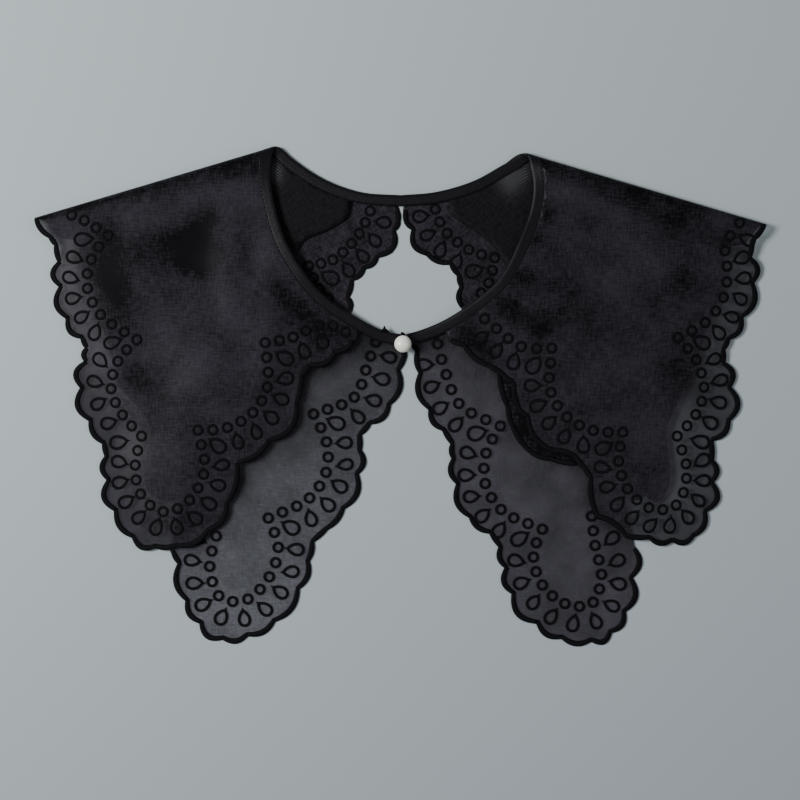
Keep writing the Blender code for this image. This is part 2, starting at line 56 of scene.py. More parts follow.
# %% The shoulder folds and the seam of the neck
FOLD_LINE = {
    # x and y at the neck, x and y at the tip
    "left": ((-70.8, 136.7), (-200.9, 98.0)),
    "right": ((70.0, 133.1), (200.6, 94.5)),
}
FOLD_DEPTH = {"left": (6.5, 3.0), "right": (8.0, 3.5)}   # of the half round: at the neck, at the tip
FOLD_LENGTH = 135.0
FOLD_STRIP = 8.0       # half the strip of cloth that goes round the fold

# The middle of the binding: x, y, and 1 on the front, 0 on the fold line, -1 on the back
NECK_LINE = {
    "left": (
        (1.6, 31.0, 1), (-9.5, 32.8, 1), (-26.8, 41.5, 1), (-46.6, 55.8, 1),
        (-64.5, 82.0, 1), (-72.7, 108.0, 1), (-74.5, 124.5, 1), (-71.5, 136.5, 0),
        (-57.5, 125.5, -1), (-41.6, 115.8, -1), (-22.0, 109.2, -1), (0.0, 107.5, -1),
    ),
    "right": (
        (3.6, 31.2, 1), (12.3, 33.7, 1), (25.5, 39.3, 1), (42.5, 50.3, 1), (57.4, 64.1, 1),
        (67.3, 83.3, 1), (74.4, 103.0, 1), (75.5, 118.0, 1), (71.5, 132.7, 0),
        (57.5, 124.5, -1), (40.9, 115.5, -1), (20.0, 109.4, -1), (0.0, 107.5, -1),
    ),
}

# %% The hems: each row is a scallop's start, x and y, and its swell as a share of its width
UPPER_HEM = {
    "left": (
        (-200.9, 98.0, 0.12), (-192.9, 86.6, 0.03), (-190.1, 82.8, 0.06), (-188.5, 74.0, 0.30),
        (-187.9, 60.2, 0.25), (-184.1, 42.6, 0.24), (-175.8, 31.6, 0.04), (-173.6, 26.7, 0.20),
        (-174.2, 19.5, 0.30), (-176.4, 4.7, 0.26), (-171.7, -13.5, 0.16), (-164.3, -26.1, 0.02),
        (-162.9, -32.7, 0.23), (-161.8, -45.9, 0.27), (-157.7, -63.0, 0.18), (-147.8, -77.8, 0.26),
        (-134.6, -83.3, 0.10), (-123.0, -82.8, 0.17), (-104.9, -74.0, 0.18), (-94.2, -59.1, 0.10),
        (-88.4, -37.1, 0.12), (-71.3, -25.0, 0.22), (-55.9, -3.6, 0.05), (-53.2, 11.3, 0.05),
        (-49.3, 16.2, 0.18), (-35.0, 23.4, 0.15), (-24.6, 31.1, 0.0),
    ),
    "right": (
        (200.6, 94.5, 0.06), (193.8, 85.0, 0.03), (192.7, 76.5, 0.27), (194.3, 62.4, 0.22),
        (188.3, 43.2, 0.21), (181.1, 31.1, 0.03), (178.4, 25.6, 0.02), (178.4, 19.0, 0.26),
        (181.9, 5.2, 0.26), (181.4, -13.5, 0.20), (172.0, -24.5, 0.02), (172.3, -34.9, 0.23),
        (172.3, -47.0, 0.29), (168.5, -63.5, 0.19), (161.6, -77.3, 0.24), (149.2, -80.0, 0.20),
        (136.0, -78.4, 0.06), (122.8, -77.3, -0.10), (107.4, -66.8, 0.09), (103.0, -44.8, 0.02),
        (99.7, -39.9, 0.02), (94.5, -33.5, -0.05), (82.7, -30.5, 0.16), (68.4, -11.3, 0.10),
        (62.9, -6.3, 0.06), (60.7, 7.4, 0.10), (56.8, 9.6, -0.04), (47.5, 15.7, 0.08),
        (33.7, 27.2, 0.04), (26.0, 30.5, 0.0),
    ),
}
BACK_HEM = {
    "left": (
        (-0.9, 103.6, 0.05), (0.0, 96.5, 0.10), (-2.6, 91.0, 0.15), (-4.8, 78.9, 0.02),
        (-11.9, 76.2, 0.15), (-19.1, 69.9, 0.12), (-25.7, 63.5, 0.05), (-27.9, 54.7, 0.15),
        (-26.8, 46.5, 0.0),
    ),
    "right": (
        (1.3, 103.6, 0.03), (1.8, 95.4, 0.04), (5.7, 91.6, 0.25), (13.9, 77.3, 0.12),
        (26.6, 72.3, 0.05), (30.7, 66.3, 0.04), (32.1, 60.2, 0.18), (33.4, 48.1, 0.0),
    ),
}
LOWER_HEM = {
    "left": (
        (2.4, 28.0, 0.0), (3.5, 22.3, 0.04), (-0.1, 14.6, 0.18), (-5.3, -4.7, 0.20),
        (-16.3, -15.5, 0.05), (-21.3, -21.2, 0.02), (-21.3, -29.4, 0.22), (-22.9, -42.6, 0.20),
        (-30.6, -61.9, 0.10), (-40.0, -73.4, 0.02), (-47.4, -80.0, 0.08), (-49.9, -90.5, 0.17),
        (-55.4, -105.9, 0.17), (-68.9, -124.0, 0.17), (-84.0, -132.0, 0.20), (-98.0, -133.9, 0.27),
        (-110.9, -124.9, 0.20), (-118.6, -112.5, 0.19), (-123.0, -91.9, 0.04), (-126.9, -84.5, 0.0),
    ),
    "right": (
        (5.5, 28.0, 0.0), (7.9, 25.0, 0.10), (9.5, 12.9, 0.19), (15.0, -7.4, 0.19),
        (22.7, -19.0, 0.02), (27.1, -26.1, 0.10), (27.7, -34.1, 0.20), (30.2, -48.1, 0.21),
        (37.3, -66.8, 0.15), (48.6, -75.6, 0.02), (53.5, -82.8, 0.18), (56.8, -94.3, 0.23),
        (60.7, -108.6, 0.25), (74.4, -125.1, 0.20), (88.2, -133.4, 0.18), (104.7, -135.0, 0.30),
        (116.2, -130.1, 0.23), (123.9, -118.5, 0.24), (127.8, -99.8, 0.25), (128.6, -82.0, 0.0),
    ),
}

# %% The plain edges that another layer hides, and the edges of the linings: x, y
BACK_EDGE = {
    "left": (
        (-26.8, 46.5), (-38.0, 29.0), (-62.0, 12.0), (-68.0, -8.0), (-88.0, -26.0), (-104.0, -42.0),
        (-120.0, -51.0), (-131.0, -40.0), (-133.0, -16.0), (-149.0, 12.0), (-160.0, 40.0),
        (-169.0, 66.0), (-173.0, 78.0), (-179.0, 85.5), (-187.4, 87.4), (-192.8, 94.0), (-197.4, 97.6),
    ),
    "right": (
        (33.4, 48.1), (42.0, 30.0), (55.0, 13.0), (57.5, -6.0), (60.0, -16.0), (69.0, -30.0),
        (82.0, -35.5), (98.0, -38.5), (112.0, -50.0), (130.0, -57.0), (142.0, -46.0),
        (143.0, -20.0), (150.0, 6.0), (160.0, 34.0), (168.0, 60.0), (172.5, 77.0), (181.0, 82.0),
        (189.5, 84.5), (193.5, 89.5), (197.0, 93.5),
    ),
}
# Where the back shows below the right front its hem has scallops, as a row of starts and swells
BACK_PEEK = (
    (53.0, 15.5, 0.06), (57.5, -6.0, 0.05), (60.0, -16.0, 0.06),
    (69.0, -30.0, 0.08), (82.0, -35.5, 0.03), (97.0, -38.3, 0.0),
)
LOWER_EDGE = {
    "left": ((-126.9, -84.5), (-122.0, -60.0), (-108.0, -10.0), (-84.0, 42.0), (-63.0, 76.0)),
    "right": ((128.6, -82.0), (124.0, -60.0), (112.0, -10.0), (88.0, 42.0), (65.5, 76.0)),
}
LINING_FRONT_EDGE = {
    "left": (
        (-47.5, 50.5), (-62.0, 38.0), (-78.0, 32.0), (-78.0, 8.0), (-90.0, -7.0), (-114.0, -14.0),
        (-114.0, -44.0), (-127.0, -57.5), (-140.0, -49.0), (-138.0, -15.0), (-154.0, 6.0),
        (-163.0, 36.0), (-177.0, 58.0), (-176.0, 82.0), (-177.0, 100.0),
    ),
    "right": (
        (50.0, 50.5), (66.0, 35.5), (87.0, 30.0), (88.0, 6.0), (102.0, -10.0), (126.0, -14.0),
        (128.0, -46.0), (140.0, -58.0), (147.5, -48.0), (146.0, -18.0), (158.0, 8.0),
        (168.0, 36.0), (177.0, 60.0), (177.0, 82.0), (177.5, 96.0),
    ),
}
LINING_BACK_EDGE = {
    "left": (
        (-27.9, 102.0), (-30.0, 98.0), (-40.0, 91.5), (-54.5, 84.5), (-58.5, 72.0), (-66.0, 48.0),
        (-79.0, 20.0), (-94.0, -6.0), (-114.0, -26.0), (-125.0, -36.0), (-128.0, -16.0),
        (-144.0, 14.0), (-156.0, 44.0), (-165.0, 72.0), (-170.0, 103.0),
    ),
    "right": (
        (27.1, 101.0), (30.0, 97.5), (38.0, 92.5), (50.5, 83.0), (58.5, 70.0), (69.0, 46.0),
        (83.0, 18.0), (99.0, -8.0), (120.0, -30.0), (134.0, -38.0), (137.0, -14.0),
        (145.0, 12.0), (156.0, 42.0), (165.0, 70.0), (170.0, 99.0),
    ),
}
print("scallops:", {side: len(UPPER_HEM[side]) + len(LOWER_HEM[side]) + len(BACK_HEM[side]) - 3
                    for side in UPPER_HEM})

# %% [markdown]
# ## Lines
# Three helpers draw every edge: a smooth line through the rows of a table, a row of scallops, and a line
# moved sideways. A fourth spreads a chosen number of points along a line, which the cloth grids need.

# %% Draw smooth lines and scallops
def smooth_line(rows, step):
    """Points about step apart on a centripetal Catmull-Rom curve: cubic Hermite pieces whose slopes at
    each row come from the rows on both sides, weighted by the square roots of their distances."""
    knots = np.array(rows, float)
    ends = 2 * knots[0] - knots[1], 2 * knots[-1] - knots[-2]
    knots = np.vstack([ends[0], knots, ends[1]])
    line = []
    for before, start, stop, after in zip(knots, knots[1:], knots[2:], knots[3:]):
        count = max(1, round(np.linalg.norm(stop - start) / step))
        gaps = [np.sqrt(np.linalg.norm(b - a)) for a, b in ((before, start), (start, stop), (stop, after))]
        leave = (start - before) / gaps[0] - (stop - before) / (gaps[0] + gaps[1]) + (stop - start) / gaps[1]
        reach = (stop - start) / gaps[1] - (after - start) / (gaps[1] + gaps[2]) + (after - stop) / gaps[2]
        t = (np.arange(count) / count)[:, None]
        line.append(
            (2 * t**3 - 3 * t**2 + 1) * start
            + (t**3 - 2 * t**2 + t) * leave * gaps[1]
            + (3 * t**2 - 2 * t**3) * stop
            + (t**3 - t**2) * reach * gaps[1]
        )
    return np.vstack(line + [knots[-2:-1]])


def scallops(rows, outward, steps=8):
    """A hem: on each chord the parabola 4 t (1 - t) times the swell, set off square to the chord."""
    rows = np.array(rows, float)
    start, stop, swell = rows[:-1, :2], rows[1:, :2], rows[:-1, 2]
    chord = stop - start
    across = np.stack([chord[:, 1], -chord[:, 0]], axis=1) * outward
    t = (np.arange(steps) / steps)[None, :, None]
    points = start[:, None] + t * chord[:, None] + 4 * t * (1 - t) * swell[:, None, None] * across[:, None]
    return np.vstack([points.reshape(-1, 2), rows[-1:, :2]])


def beside(line, distance):
    """The line moved square to itself, to its right where distance is positive."""
    along = np.gradient(line, axis=0)
    along /= np.maximum(np.linalg.norm(along, axis=1), 1e-9)[:, None]
    return line + np.stack([along[:, 1], -along[:, 0]], axis=1) * np.reshape(distance, (-1, 1))


def run_of(line):
    """Length from a line's start to each of its points."""
    return np.concatenate([[0.0], np.cumsum(np.linalg.norm(np.diff(line, axis=0), axis=1))])


def spread(line, shares):
    """Points of a line at shares of its length."""
    run = run_of(line)
    return np.column_stack([np.interp(np.asarray(shares) * run[-1], run, column) for column in line.T])


def ease(share):
    """A smooth step from 0 to 1: 3 s^2 - 2 s^3."""
    share = np.clip(share, 0, 1)
    return share * share * (3 - 2 * share)


def depth_inside(outline, points):
    """How far each point lies inside a closed outline: its distance from the nearest edge, negative
    outside. A point is inside if a line to the right of it crosses the outline an odd number of times."""
    start, stop = outline, np.roll(outline, -1, axis=0)
    edge = stop - start
    rel = points[:, None] - start[None]
    share = np.clip((rel * edge).sum(2) / np.maximum((edge**2).sum(1), 1e-9), 0, 1)
    away = np.linalg.norm(rel - share[..., None] * edge, axis=2).min(axis=1)
    straddles = (start[:, 1] > points[:, None, 1]) != (stop[:, 1] > points[:, None, 1])
    rise = np.where(edge[:, 1] == 0, 1.0, edge[:, 1])
    crossing = start[:, 0] + (points[:, None, 1] - start[:, 1]) * edge[:, 0] / rise
    inside = (straddles & (points[:, None, 0] < crossing)).sum(axis=1) % 2 == 1
    return np.where(inside, away, -away)


print("left neck seam, front part:", round(run_of(smooth_line(NECK_LINE["left"][:8], 2.0))[-1], 1), "mm")

# %% [markdown]
# ## Folds and creases
# Organza is crisp: it holds soft rolls where it is folded and long shallow creases where it was pressed.
# Each crease is a row: where it starts and ends, how high it stands (or how deep it lies, if negative) and
# how wide it is. They are placed one by one, uneven as on the real collar, and fade towards the hems.

# %% Tables of the rolls, folds and creases of the two fronts
SOFT_FOLDS = {
    # x, y at the start, x, y at the end, height, half width
    "left": (
        (-97.0, 106.0, -92.0, 50.0, 1.1, 8.0),
        (-126.0, 29.0, -92.0, 7.0, 1.6, 12.0),
        (-131.0, 103.0, -148.0, 62.0, 0.6, 14.0),
        (-66.0, 40.0, -74.0, 10.0, 1.0, 11.0),
        (-142.0, 80.0, -104.0, 72.0, -0.8, 9.0),
        (-88.0, 74.0, -78.0, 66.0, -0.6, 7.0),
        (-64.0, 58.0, -54.0, 46.0, -0.6, 6.0),
        (-148.0, 14.0, -128.0, -2.0, -0.6, 8.0),
    ),
    "right": (
        (86.0, 112.0, 98.0, 94.0, 1.4, 12.0),
        (76.0, 76.0, 108.0, 74.0, 1.9, 10.0),
        (70.0, 47.0, 104.0, 56.0, 1.7, 10.0),
        (120.0, 96.0, 146.0, 66.0, 1.4, 13.0),
        (112.0, 24.0, 134.0, 8.0, 1.4, 12.0),
        (62.0, 66.0, 94.0, 58.0, -0.8, 5.0),
        (58.0, 49.0, 76.0, 37.0, -0.7, 5.0),
        (91.0, 46.0, 108.0, 37.0, -0.5, 7.0),
        (146.0, 14.0, 162.0, 3.0, -0.5, 8.0),
    ),
}
print("soft folds:", {side: len(rows) for side, rows in SOFT_FOLDS.items()})

# %% [markdown]
# ## How the collar lies
# One half of the collar is a stack: the back at the bottom, the back's lining, the lower tier, the front's
# lining and the front on top. Each upper layer drapes down softly over the edge of what lies under it.
# The upper tier's cloth turns round the shoulder as a half round. To shape it, a point of the laid collar
# is first found on the unfolded cloth: u runs along the fold and v across it, positive on the front.

# %% Describe one half of the collar
WALL = 1.0             # a layer of the solids
LAYER = 1.5            # from one layer to the next
CLOTH = 0.22           # what the cloth itself measures, with its finish
EASE = 25.0            # how far a layer takes to come down over an edge
EDGE_MARGIN = 1.5
HEM_LIFT = 0.1
FOLD_ROOM = 1.8
ROLL_HEIGHT, ROLL_FADE, ROLL_SPREAD = 3.0, 0.65, 16.0
EDGE_PUFF, EDGE_REACH = 0.35, 14.0
BINDING_WIDTH = 6.2


class Half:
    """One half of the collar: its edges in plan, the heights of its layers and the way it folds over."""

    def __init__(self, name):
        self.name = name
        self.outward = 1 if name == "left" else -1
        self.origin = np.array(FOLD_LINE[name][0])
        along = np.array(FOLD_LINE[name][1]) - self.origin
        self.length = np.linalg.norm(along)
        self.along = along / self.length
        self.down = np.array([-self.along[1], self.along[0]]) * self.outward
        rows = np.array(NECK_LINE[name], float)
        self.neck = smooth_line(self.pattern(rows[:, :2], rows[:, 2]), 1.0)
        fold = np.vstack([self.origin + FOLD_LENGTH * self.along, self.origin])
        front_neck = self.plan(self.neck[self.neck[:, 1] > 0])[0]
        back_neck = self.plan(self.neck[self.neck[:, 1] < 0])[0]
        self.front = np.vstack([scallops(UPPER_HEM[name], self.outward), front_neck, self.origin])
        self.layers = [
            np.vstack([scallops(BACK_HEM[name], -self.outward), smooth_line(BACK_EDGE[name], 8.0)[1:], fold]),
            self.joined(LINING_BACK_EDGE[name], fold, back_neck),
            np.vstack([
                scallops(LOWER_HEM[name], -self.outward),
                smooth_line(LOWER_EDGE[name], 8.0)[1:-1],
                self.cut(front_neck, LOWER_EDGE[name][-1])[::-1],
            ]),
            self.joined(LINING_FRONT_EDGE[name], fold, front_neck[::-1]),
        ]

    def cut(self, line, point):
        """The line up to where it passes nearest to a point."""
        return line[: np.linalg.norm(line - np.array(point), axis=1).argmin() + 1]

    def joined(self, edge, fold, neck):
        """An outline from a plain edge, the fold and the neck from the fold round to the edge."""
        line = smooth_line(edge, 8.0)
        return np.vstack([line, fold, self.cut(neck, line[0])])

    def fold_depth(self, u):
        """How far the fold's half round reaches in: straight from its depth at the neck to that at the tip."""
        at_neck, at_tip = FOLD_DEPTH[self.name]
        return at_neck + (at_tip - at_neck) * np.clip(u / FOLD_LENGTH, 0, 1)

    def pattern(self, xy, face):
        """Where a point of the laid collar lies on the unfolded cloth, as u and v."""
        rel = np.atleast_2d(xy)[:, :2] - self.origin
        u, d = rel @ self.along, rel @ self.down
        depth = self.fold_depth(u)
        round_part = FOLD_STRIP * np.arccos(np.clip(1 - d / depth, -1, 1)) * 2 / np.pi
        v = np.where(d < depth, round_part, d - depth + FOLD_STRIP)
        return np.stack([u, v * face], axis=1)

    def plan(self, uv, inset=0.0):
        """The reverse of pattern: x and y of the laid cloth, and the angle round the fold."""
        u, v = uv[:, 0], uv[:, 1]
        depth = self.fold_depth(u)
        angle = np.clip(v / FOLD_STRIP, -1, 1) * np.pi / 2
        d = np.maximum(np.abs(v) - FOLD_STRIP, 0) + inset + (depth - inset) * (1 - np.cos(angle))
        return self.origin + u[:, None] * self.along + d[:, None] * self.down, angle

    def seam(self, tuck):
        """The neck edge of the cloth, tucked that far under the binding."""
        return beside(self.neck, -BINDING_WIDTH / 2 + tuck)

    def cover(self, layer, xy):
        """1 over a lower layer, easing to 0 beyond its edge."""
        away = -depth_inside(self.layers[layer], xy) - EDGE_MARGIN
        return 1 - ease(away / EASE)

    def folds(self, xy):
        """The roll along the shoulder and the soft folds: each is a bell, height times exp(-(away / width)^2),
        where away is the distance from its line, and fades at both ends by exp(-(2 share - 1)^4). All of
        them fade at the hem."""
        rel = xy - self.origin
        u, d = rel @ self.along, np.maximum(rel @ self.down, 0)
        height = ROLL_HEIGHT * (1 - ROLL_FADE * ease(u / FOLD_LENGTH)) * np.exp(-((d / ROLL_SPREAD) ** 2))
        for x0, y0, x1, y1, rise, width in SOFT_FOLDS[self.name]:
            start, run = np.array([x0, y0]), np.array([x1 - x0, y1 - y0])
            share = (xy - start) @ run / (run @ run)
            away = np.linalg.norm(xy - start - share[:, None] * run, axis=1)
            height = height + rise * np.exp(-((away / width) ** 2) - (2 * share - 1) ** 4)
        return height * ease(depth_inside(self.front, xy) / EDGE_REACH + EDGE_PUFF)

    def front_height(self, xy):
        """Top of the upper front: the wall, the layers under it and its folds."""
        stack = sum(self.cover(layer, xy) for layer in range(4))
        return WALL + HEM_LIFT + LAYER * stack + self.folds(xy)

    def lower_height(self, xy):
        """Top of the lower tier, half a wall above the layers that it lies on."""
        return LAYER * (self.cover(0, xy) + self.cover(1, xy)) + WALL / 2

    def laid(self, uv, inset=0.0):
        """The folded cloth in space: flat below, a half ellipse round the shoulder, then the front on top.
        A lining is the same form, inset inside it."""
        xy, angle = self.plan(uv, inset * FOLD_ROOM)
        top = self.front_height(xy) - inset
        z = np.where(uv[:, 1] >= FOLD_STRIP, top, inset + (top - inset) * (1 + np.sin(angle)) / 2)
        z = np.where(uv[:, 1] <= -FOLD_STRIP, inset, z)
        return np.column_stack([xy, z])

    def facing(self, uv):
        """Unit normals of the folded cloth, from the slopes along u and v."""
        step = np.array([[0.4, 0.0], [0.0, 0.4]])
        along = self.laid(uv + step[0]) - self.laid(uv - step[0])
        over = self.laid(uv + step[1]) - self.laid(uv - step[1])
        out = np.cross(along, over) * self.outward
        return out / np.linalg.norm(out, axis=1)[:, None]


halves = {name: Half(name) for name in ("left", "right")}
for name, half in halves.items():
    place = np.array([[-120.0 * half.outward, 60.0]])
    print(name, "front stands", round(float(half.front_height(place)[0]), 2), "mm high in its middle")

# %% [markdown]
# ## Shader building blocks
# Several finishes share two effects. `weave` crosses two rows of threads, over and under, and also gives
# the slow unevenness that real threads have. `satin_stitch` lays fine threads side by side across a
# stroke. Each is a node group with named inputs, made once and used with its own values in each finish.

# %% Make node groups
def new_group(name, inputs, outputs):
    """An empty shader group. Inputs are name, type, value; outputs are name, type."""
    group = bpy.data.node_groups.new(name, "ShaderNodeTree")
    for title, kind, value in inputs:
        group.interface.new_socket(title, in_out="INPUT", socket_type=kind).default_value = value
    for title, kind in outputs:
        group.interface.new_socket(title, in_out="OUTPUT", socket_type=kind)
    return group, group.nodes.new("NodeGroupInput"), group.nodes.new("NodeGroupOutput")


def math_node(tree, operation, first, second=None, third=None):
    """A Math node fed by sockets or plain numbers; returns its result."""
    node = tree.nodes.new("ShaderNodeMath")
    node.operation = operation
    for socket, value in zip(node.inputs, (first, second, third)):
        if isinstance(value, bpy.types.NodeSocket):
            tree.links.new(value, socket)
        elif value is not None:
            socket.default_value = value
    return node.outputs[0]


def mix_colour(tree, share, first, second):
    """A blend of two colours."""
    node = tree.nodes.new("ShaderNodeMix")
    node.data_type = "RGBA"
    for socket, value in ((node.inputs[0], share), (node.inputs[6], first), (node.inputs[7], second)):
        if isinstance(value, bpy.types.NodeSocket):
            tree.links.new(value, socket)
        else:
            socket.default_value = value
    return node.outputs[2]


def weave_group():
    """Plain weave on the cloth's own UV map, which is in millimetres. Warp is |sin| across u, weft is
    |sin| across v, and the height is the greater of the two. Uneven adds noise drawn out along the warp
    to noise drawn out along the weft, as thick and thin threads do."""
    group, given, made = new_group(
        "plain weave",
        [("Pitch", "NodeSocketFloat", 0.5), ("Slub", "NodeSocketFloat", 0.3)],
        [("Height", "NodeSocketFloat"), ("Uneven", "NodeSocketFloat")],
    )
    place = group.nodes.new("ShaderNodeUVMap")
    split = group.nodes.new("ShaderNodeSeparateXYZ")
    group.links.new(place.outputs[0], split.inputs[0])
    turns = math_node(group, "DIVIDE", np.pi, given.outputs["Pitch"])
    across_warp = math_node(group, "MULTIPLY", split.outputs[0], turns)
    across_weft = math_node(group, "MULTIPLY", split.outputs[1], turns)
    warp = math_node(group, "ABSOLUTE", math_node(group, "SINE", across_warp))
    weft = math_node(group, "ABSOLUTE", math_node(group, "SINE", across_weft))
    group.links.new(math_node(group, "MAXIMUM", warp, weft), made.inputs["Height"])
    slubs = []
    for stretch in ((0.20, 1.05, 1.0), (1.05, 0.20, 1.0)):      # long one way, fine the other
        mapping = group.nodes.new("ShaderNodeMapping")
        mapping.inputs["Scale"].default_value = stretch
        noise = group.nodes.new("ShaderNodeTexNoise")
        noise.inputs["Scale"].default_value = 1.0
        noise.inputs["Detail"].default_value = 3.0
        group.links.new(place.outputs[0], mapping.inputs["Vector"])
        group.links.new(mapping.outputs[0], noise.inputs["Vector"])
        slubs.append(noise.outputs[0])
    both = math_node(group, "SUBTRACT", math_node(group, "ADD", slubs[0], slubs[1]), 1.0)
    group.links.new(math_node(group, "MULTIPLY", both, given.outputs["Slub"]), made.inputs["Uneven"])
    return group


def stitch_group():
    """Threads laid across a stroke: |sin| along it, with the pitch a little uneven."""
    group, given, made = new_group(
        "satin stitch",
        [("Pitch", "NodeSocketFloat", 0.35)],
        [("Height", "NodeSocketFloat"), ("Tone", "NodeSocketFloat")],
    )
    place = group.nodes.new("ShaderNodeUVMap")
    split = group.nodes.new("ShaderNodeSeparateXYZ")
    noise = group.nodes.new("ShaderNodeTexNoise")
    noise.inputs["Scale"].default_value = 0.8
    group.links.new(place.outputs[0], split.inputs[0])
    group.links.new(place.outputs[0], noise.inputs["Vector"])
    along = math_node(group, "MULTIPLY_ADD", noise.outputs[0], 0.5, split.outputs[0])
    slant = math_node(group, "MULTIPLY_ADD", split.outputs[1], 0.25, along)
    turns = math_node(group, "MULTIPLY", slant, math_node(group, "DIVIDE", np.pi, given.outputs["Pitch"]))
    group.links.new(math_node(group, "ABSOLUTE", math_node(group, "SINE", turns)), made.inputs["Height"])
    group.links.new(noise.outputs[0], made.inputs["Tone"])
    return group


WEAVE, STITCH = weave_group(), stitch_group()
print("node groups:", [group.name for group in (WEAVE, STITCH)])

# %% [markdown]
# ## Finishes
# Organza is sheer: a fine weave of hard-twisted threads that lets what lies below show through. What comes
# back is a soft, cool sheen that changes from fold to fold. So its finish mixes a dark and a light near
# black by three things: the threads' own unevenness, soft clouds, and `painted_light`, a value that each point
# of the cloth brings along, which paints the sheen of the folds and the shade between them into the colour.
# The same three open or close the weave, as alpha. The lining is matt and closed, the binding a smooth satin,
# and the embroidery close-laid thread.

# %% Helpers for every finish
def new_finish(name, colour, roughness, specular=0.5):
    """A material with a Principled shader; returns the material, its tree and the shader."""
    made = bpy.data.materials.new(name)
    made.use_nodes = True
    shader = made.node_tree.nodes["Principled BSDF"]
    shader.inputs["Base Color"].default_value = (*colour, 1.0)
    shader.inputs["Roughness"].default_value = roughness
    shader.inputs["Specular IOR Level"].default_value = specular
    made.diffuse_color = (*colour, 1.0)
    return made, made.node_tree, shader


def use_group(tree, group, **values):
    """A group node in a material, with its inputs set by name."""
    node = tree.nodes.new("ShaderNodeGroup")
    node.node_tree = group
    for title, value in values.items():
        node.inputs[title].default_value = value
    return node


def bump(tree, shader, height, strength, distance):
    """Relief from a height, in millimetres."""
    node = tree.nodes.new("ShaderNodeBump")
    node.inputs["Strength"].default_value = strength
    node.inputs["Distance"].default_value = distance * MM
    tree.links.new(height, node.inputs["Height"])
    tree.links.new(node.outputs[0], shader.inputs["Normal"])


print("finishes share:", new_finish.__name__, use_group.__name__, bump.__name__)

# %% Finishes of the cloths
def organza(name, dark, light, closeness, holes):
    """Sheer cloth. Share of the light colour: 0.75 uneven + painted_light + clouds, where painted_light is
    painted sheen and shade. Alpha: closeness + 0.25 cover - 0.45 painted_light - 0.15 clouds + holes times
    uneven. Roughness: 0.36 + 0.08 painted_light. The clouds are noise a few centimetres wide, from -0.4 to 0.4."""
    made, tree, shader = new_finish(name, dark, 0.38, 0.11)
    cloth = use_group(tree, WEAVE, Pitch=0.45, Slub=1.0)
    painted_light, cover = (tree.nodes.new("ShaderNodeAttribute") for _ in range(2))
    painted_light.attribute_name, cover.attribute_name = "painted_light", "cover"
    place = tree.nodes.new("ShaderNodeUVMap")
    cloud = tree.nodes.new("ShaderNodeTexNoise")
    cloud.inputs["Scale"].default_value = 0.055
    cloud.inputs["Detail"].default_value = 3.0
    tree.links.new(place.outputs[0], cloud.inputs["Vector"])
    cloudy = math_node(tree, "MULTIPLY_ADD", cloud.outputs[0], 0.8, -0.4)
    # the painted sheen and shade of each point makes the colour lighter or darker here
    share = math_node(tree, "MULTIPLY_ADD", cloth.outputs["Uneven"], 0.75, painted_light.outputs["Fac"])
    share = math_node(tree, "ADD", share, cloudy)
    tree.links.new(mix_colour(tree, share, (*dark, 1.0), (*light, 1.0)), shader.inputs["Base Color"])
    closed = math_node(tree, "MULTIPLY_ADD", cover.outputs["Fac"], 0.25, closeness)
    closed = math_node(tree, "MULTIPLY_ADD", painted_light.outputs["Fac"], -0.45, closed)
    closed = math_node(tree, "MULTIPLY_ADD", cloudy, -0.15, closed)
    alpha = math_node(tree, "MULTIPLY_ADD", cloth.outputs["Uneven"], holes, closed)
    tree.links.new(alpha, shader.inputs["Alpha"])
    gloss = math_node(tree, "MULTIPLY_ADD", painted_light.outputs["Fac"], 0.08, 0.36)
    tree.links.new(gloss, shader.inputs["Roughness"])
    shader.inputs["Specular Tint"].default_value = (0.97, 0.93, 1.0, 1.0)
    shader.inputs["Sheen Weight"].default_value = 0.02
    shader.inputs["Sheen Roughness"].default_value = 0.35
    bump(tree, shader, cloth.outputs["Height"], 0.12, 0.05)
    return made


def closed_cloth(name, dark, light, roughness, pitch, specular, gathered=False):
    """Cloth with no light through it. Gathered cloth has painted highlights on the crests sin(2 pi pleat), as
    far as its painted_pleat_light attribute says, and an even painted sheen as far as its smooth attribute says."""
    made, tree, shader = new_finish(name, dark, roughness, specular)
    cloth = use_group(tree, WEAVE, Pitch=pitch, Slub=1.0)
    share = math_node(tree, "MULTIPLY_ADD", cloth.outputs["Uneven"], 1.2, 0.4)
    light_end = (*light, 1.0)
    if gathered:        # attributes: pleats by count, the strength of their painted highlights, and the painted sheen on smooth cloth
        pleat, painted_pleat_light, smooth = (tree.nodes.new("ShaderNodeAttribute") for _ in range(3))
        pleat.attribute_name, painted_pleat_light.attribute_name, smooth.attribute_name = "pleat", "painted_pleat_light", "smooth"
        # painted highlights: the lining is made lighter on the crests of the pleats
        wave = math_node(tree, "SINE", math_node(tree, "MULTIPLY", pleat.outputs["Fac"], 2 * np.pi))
        crest = math_node(tree, "MULTIPLY_ADD", wave, 0.5, 0.35)
        crest = math_node(tree, "MULTIPLY", crest, painted_pleat_light.outputs["Fac"])
        crest = math_node(tree, "MULTIPLY_ADD", smooth.outputs["Fac"], 0.28, crest)
        # painted highlights and painted sheen make the lining evenly lighter here too
        lit = math_node(tree, "ADD", painted_pleat_light.outputs["Fac"], smooth.outputs["Fac"])
        share = math_node(tree, "ADD", share, lit)
        light_end = mix_colour(tree, crest, (*light, 1.0), (0.11, 0.11, 0.12, 1.0))
    tree.links.new(mix_colour(tree, share, (*dark, 1.0), light_end), shader.inputs["Base Color"])
    bump(tree, shader, cloth.outputs["Height"], 0.4, 0.08)
    return made


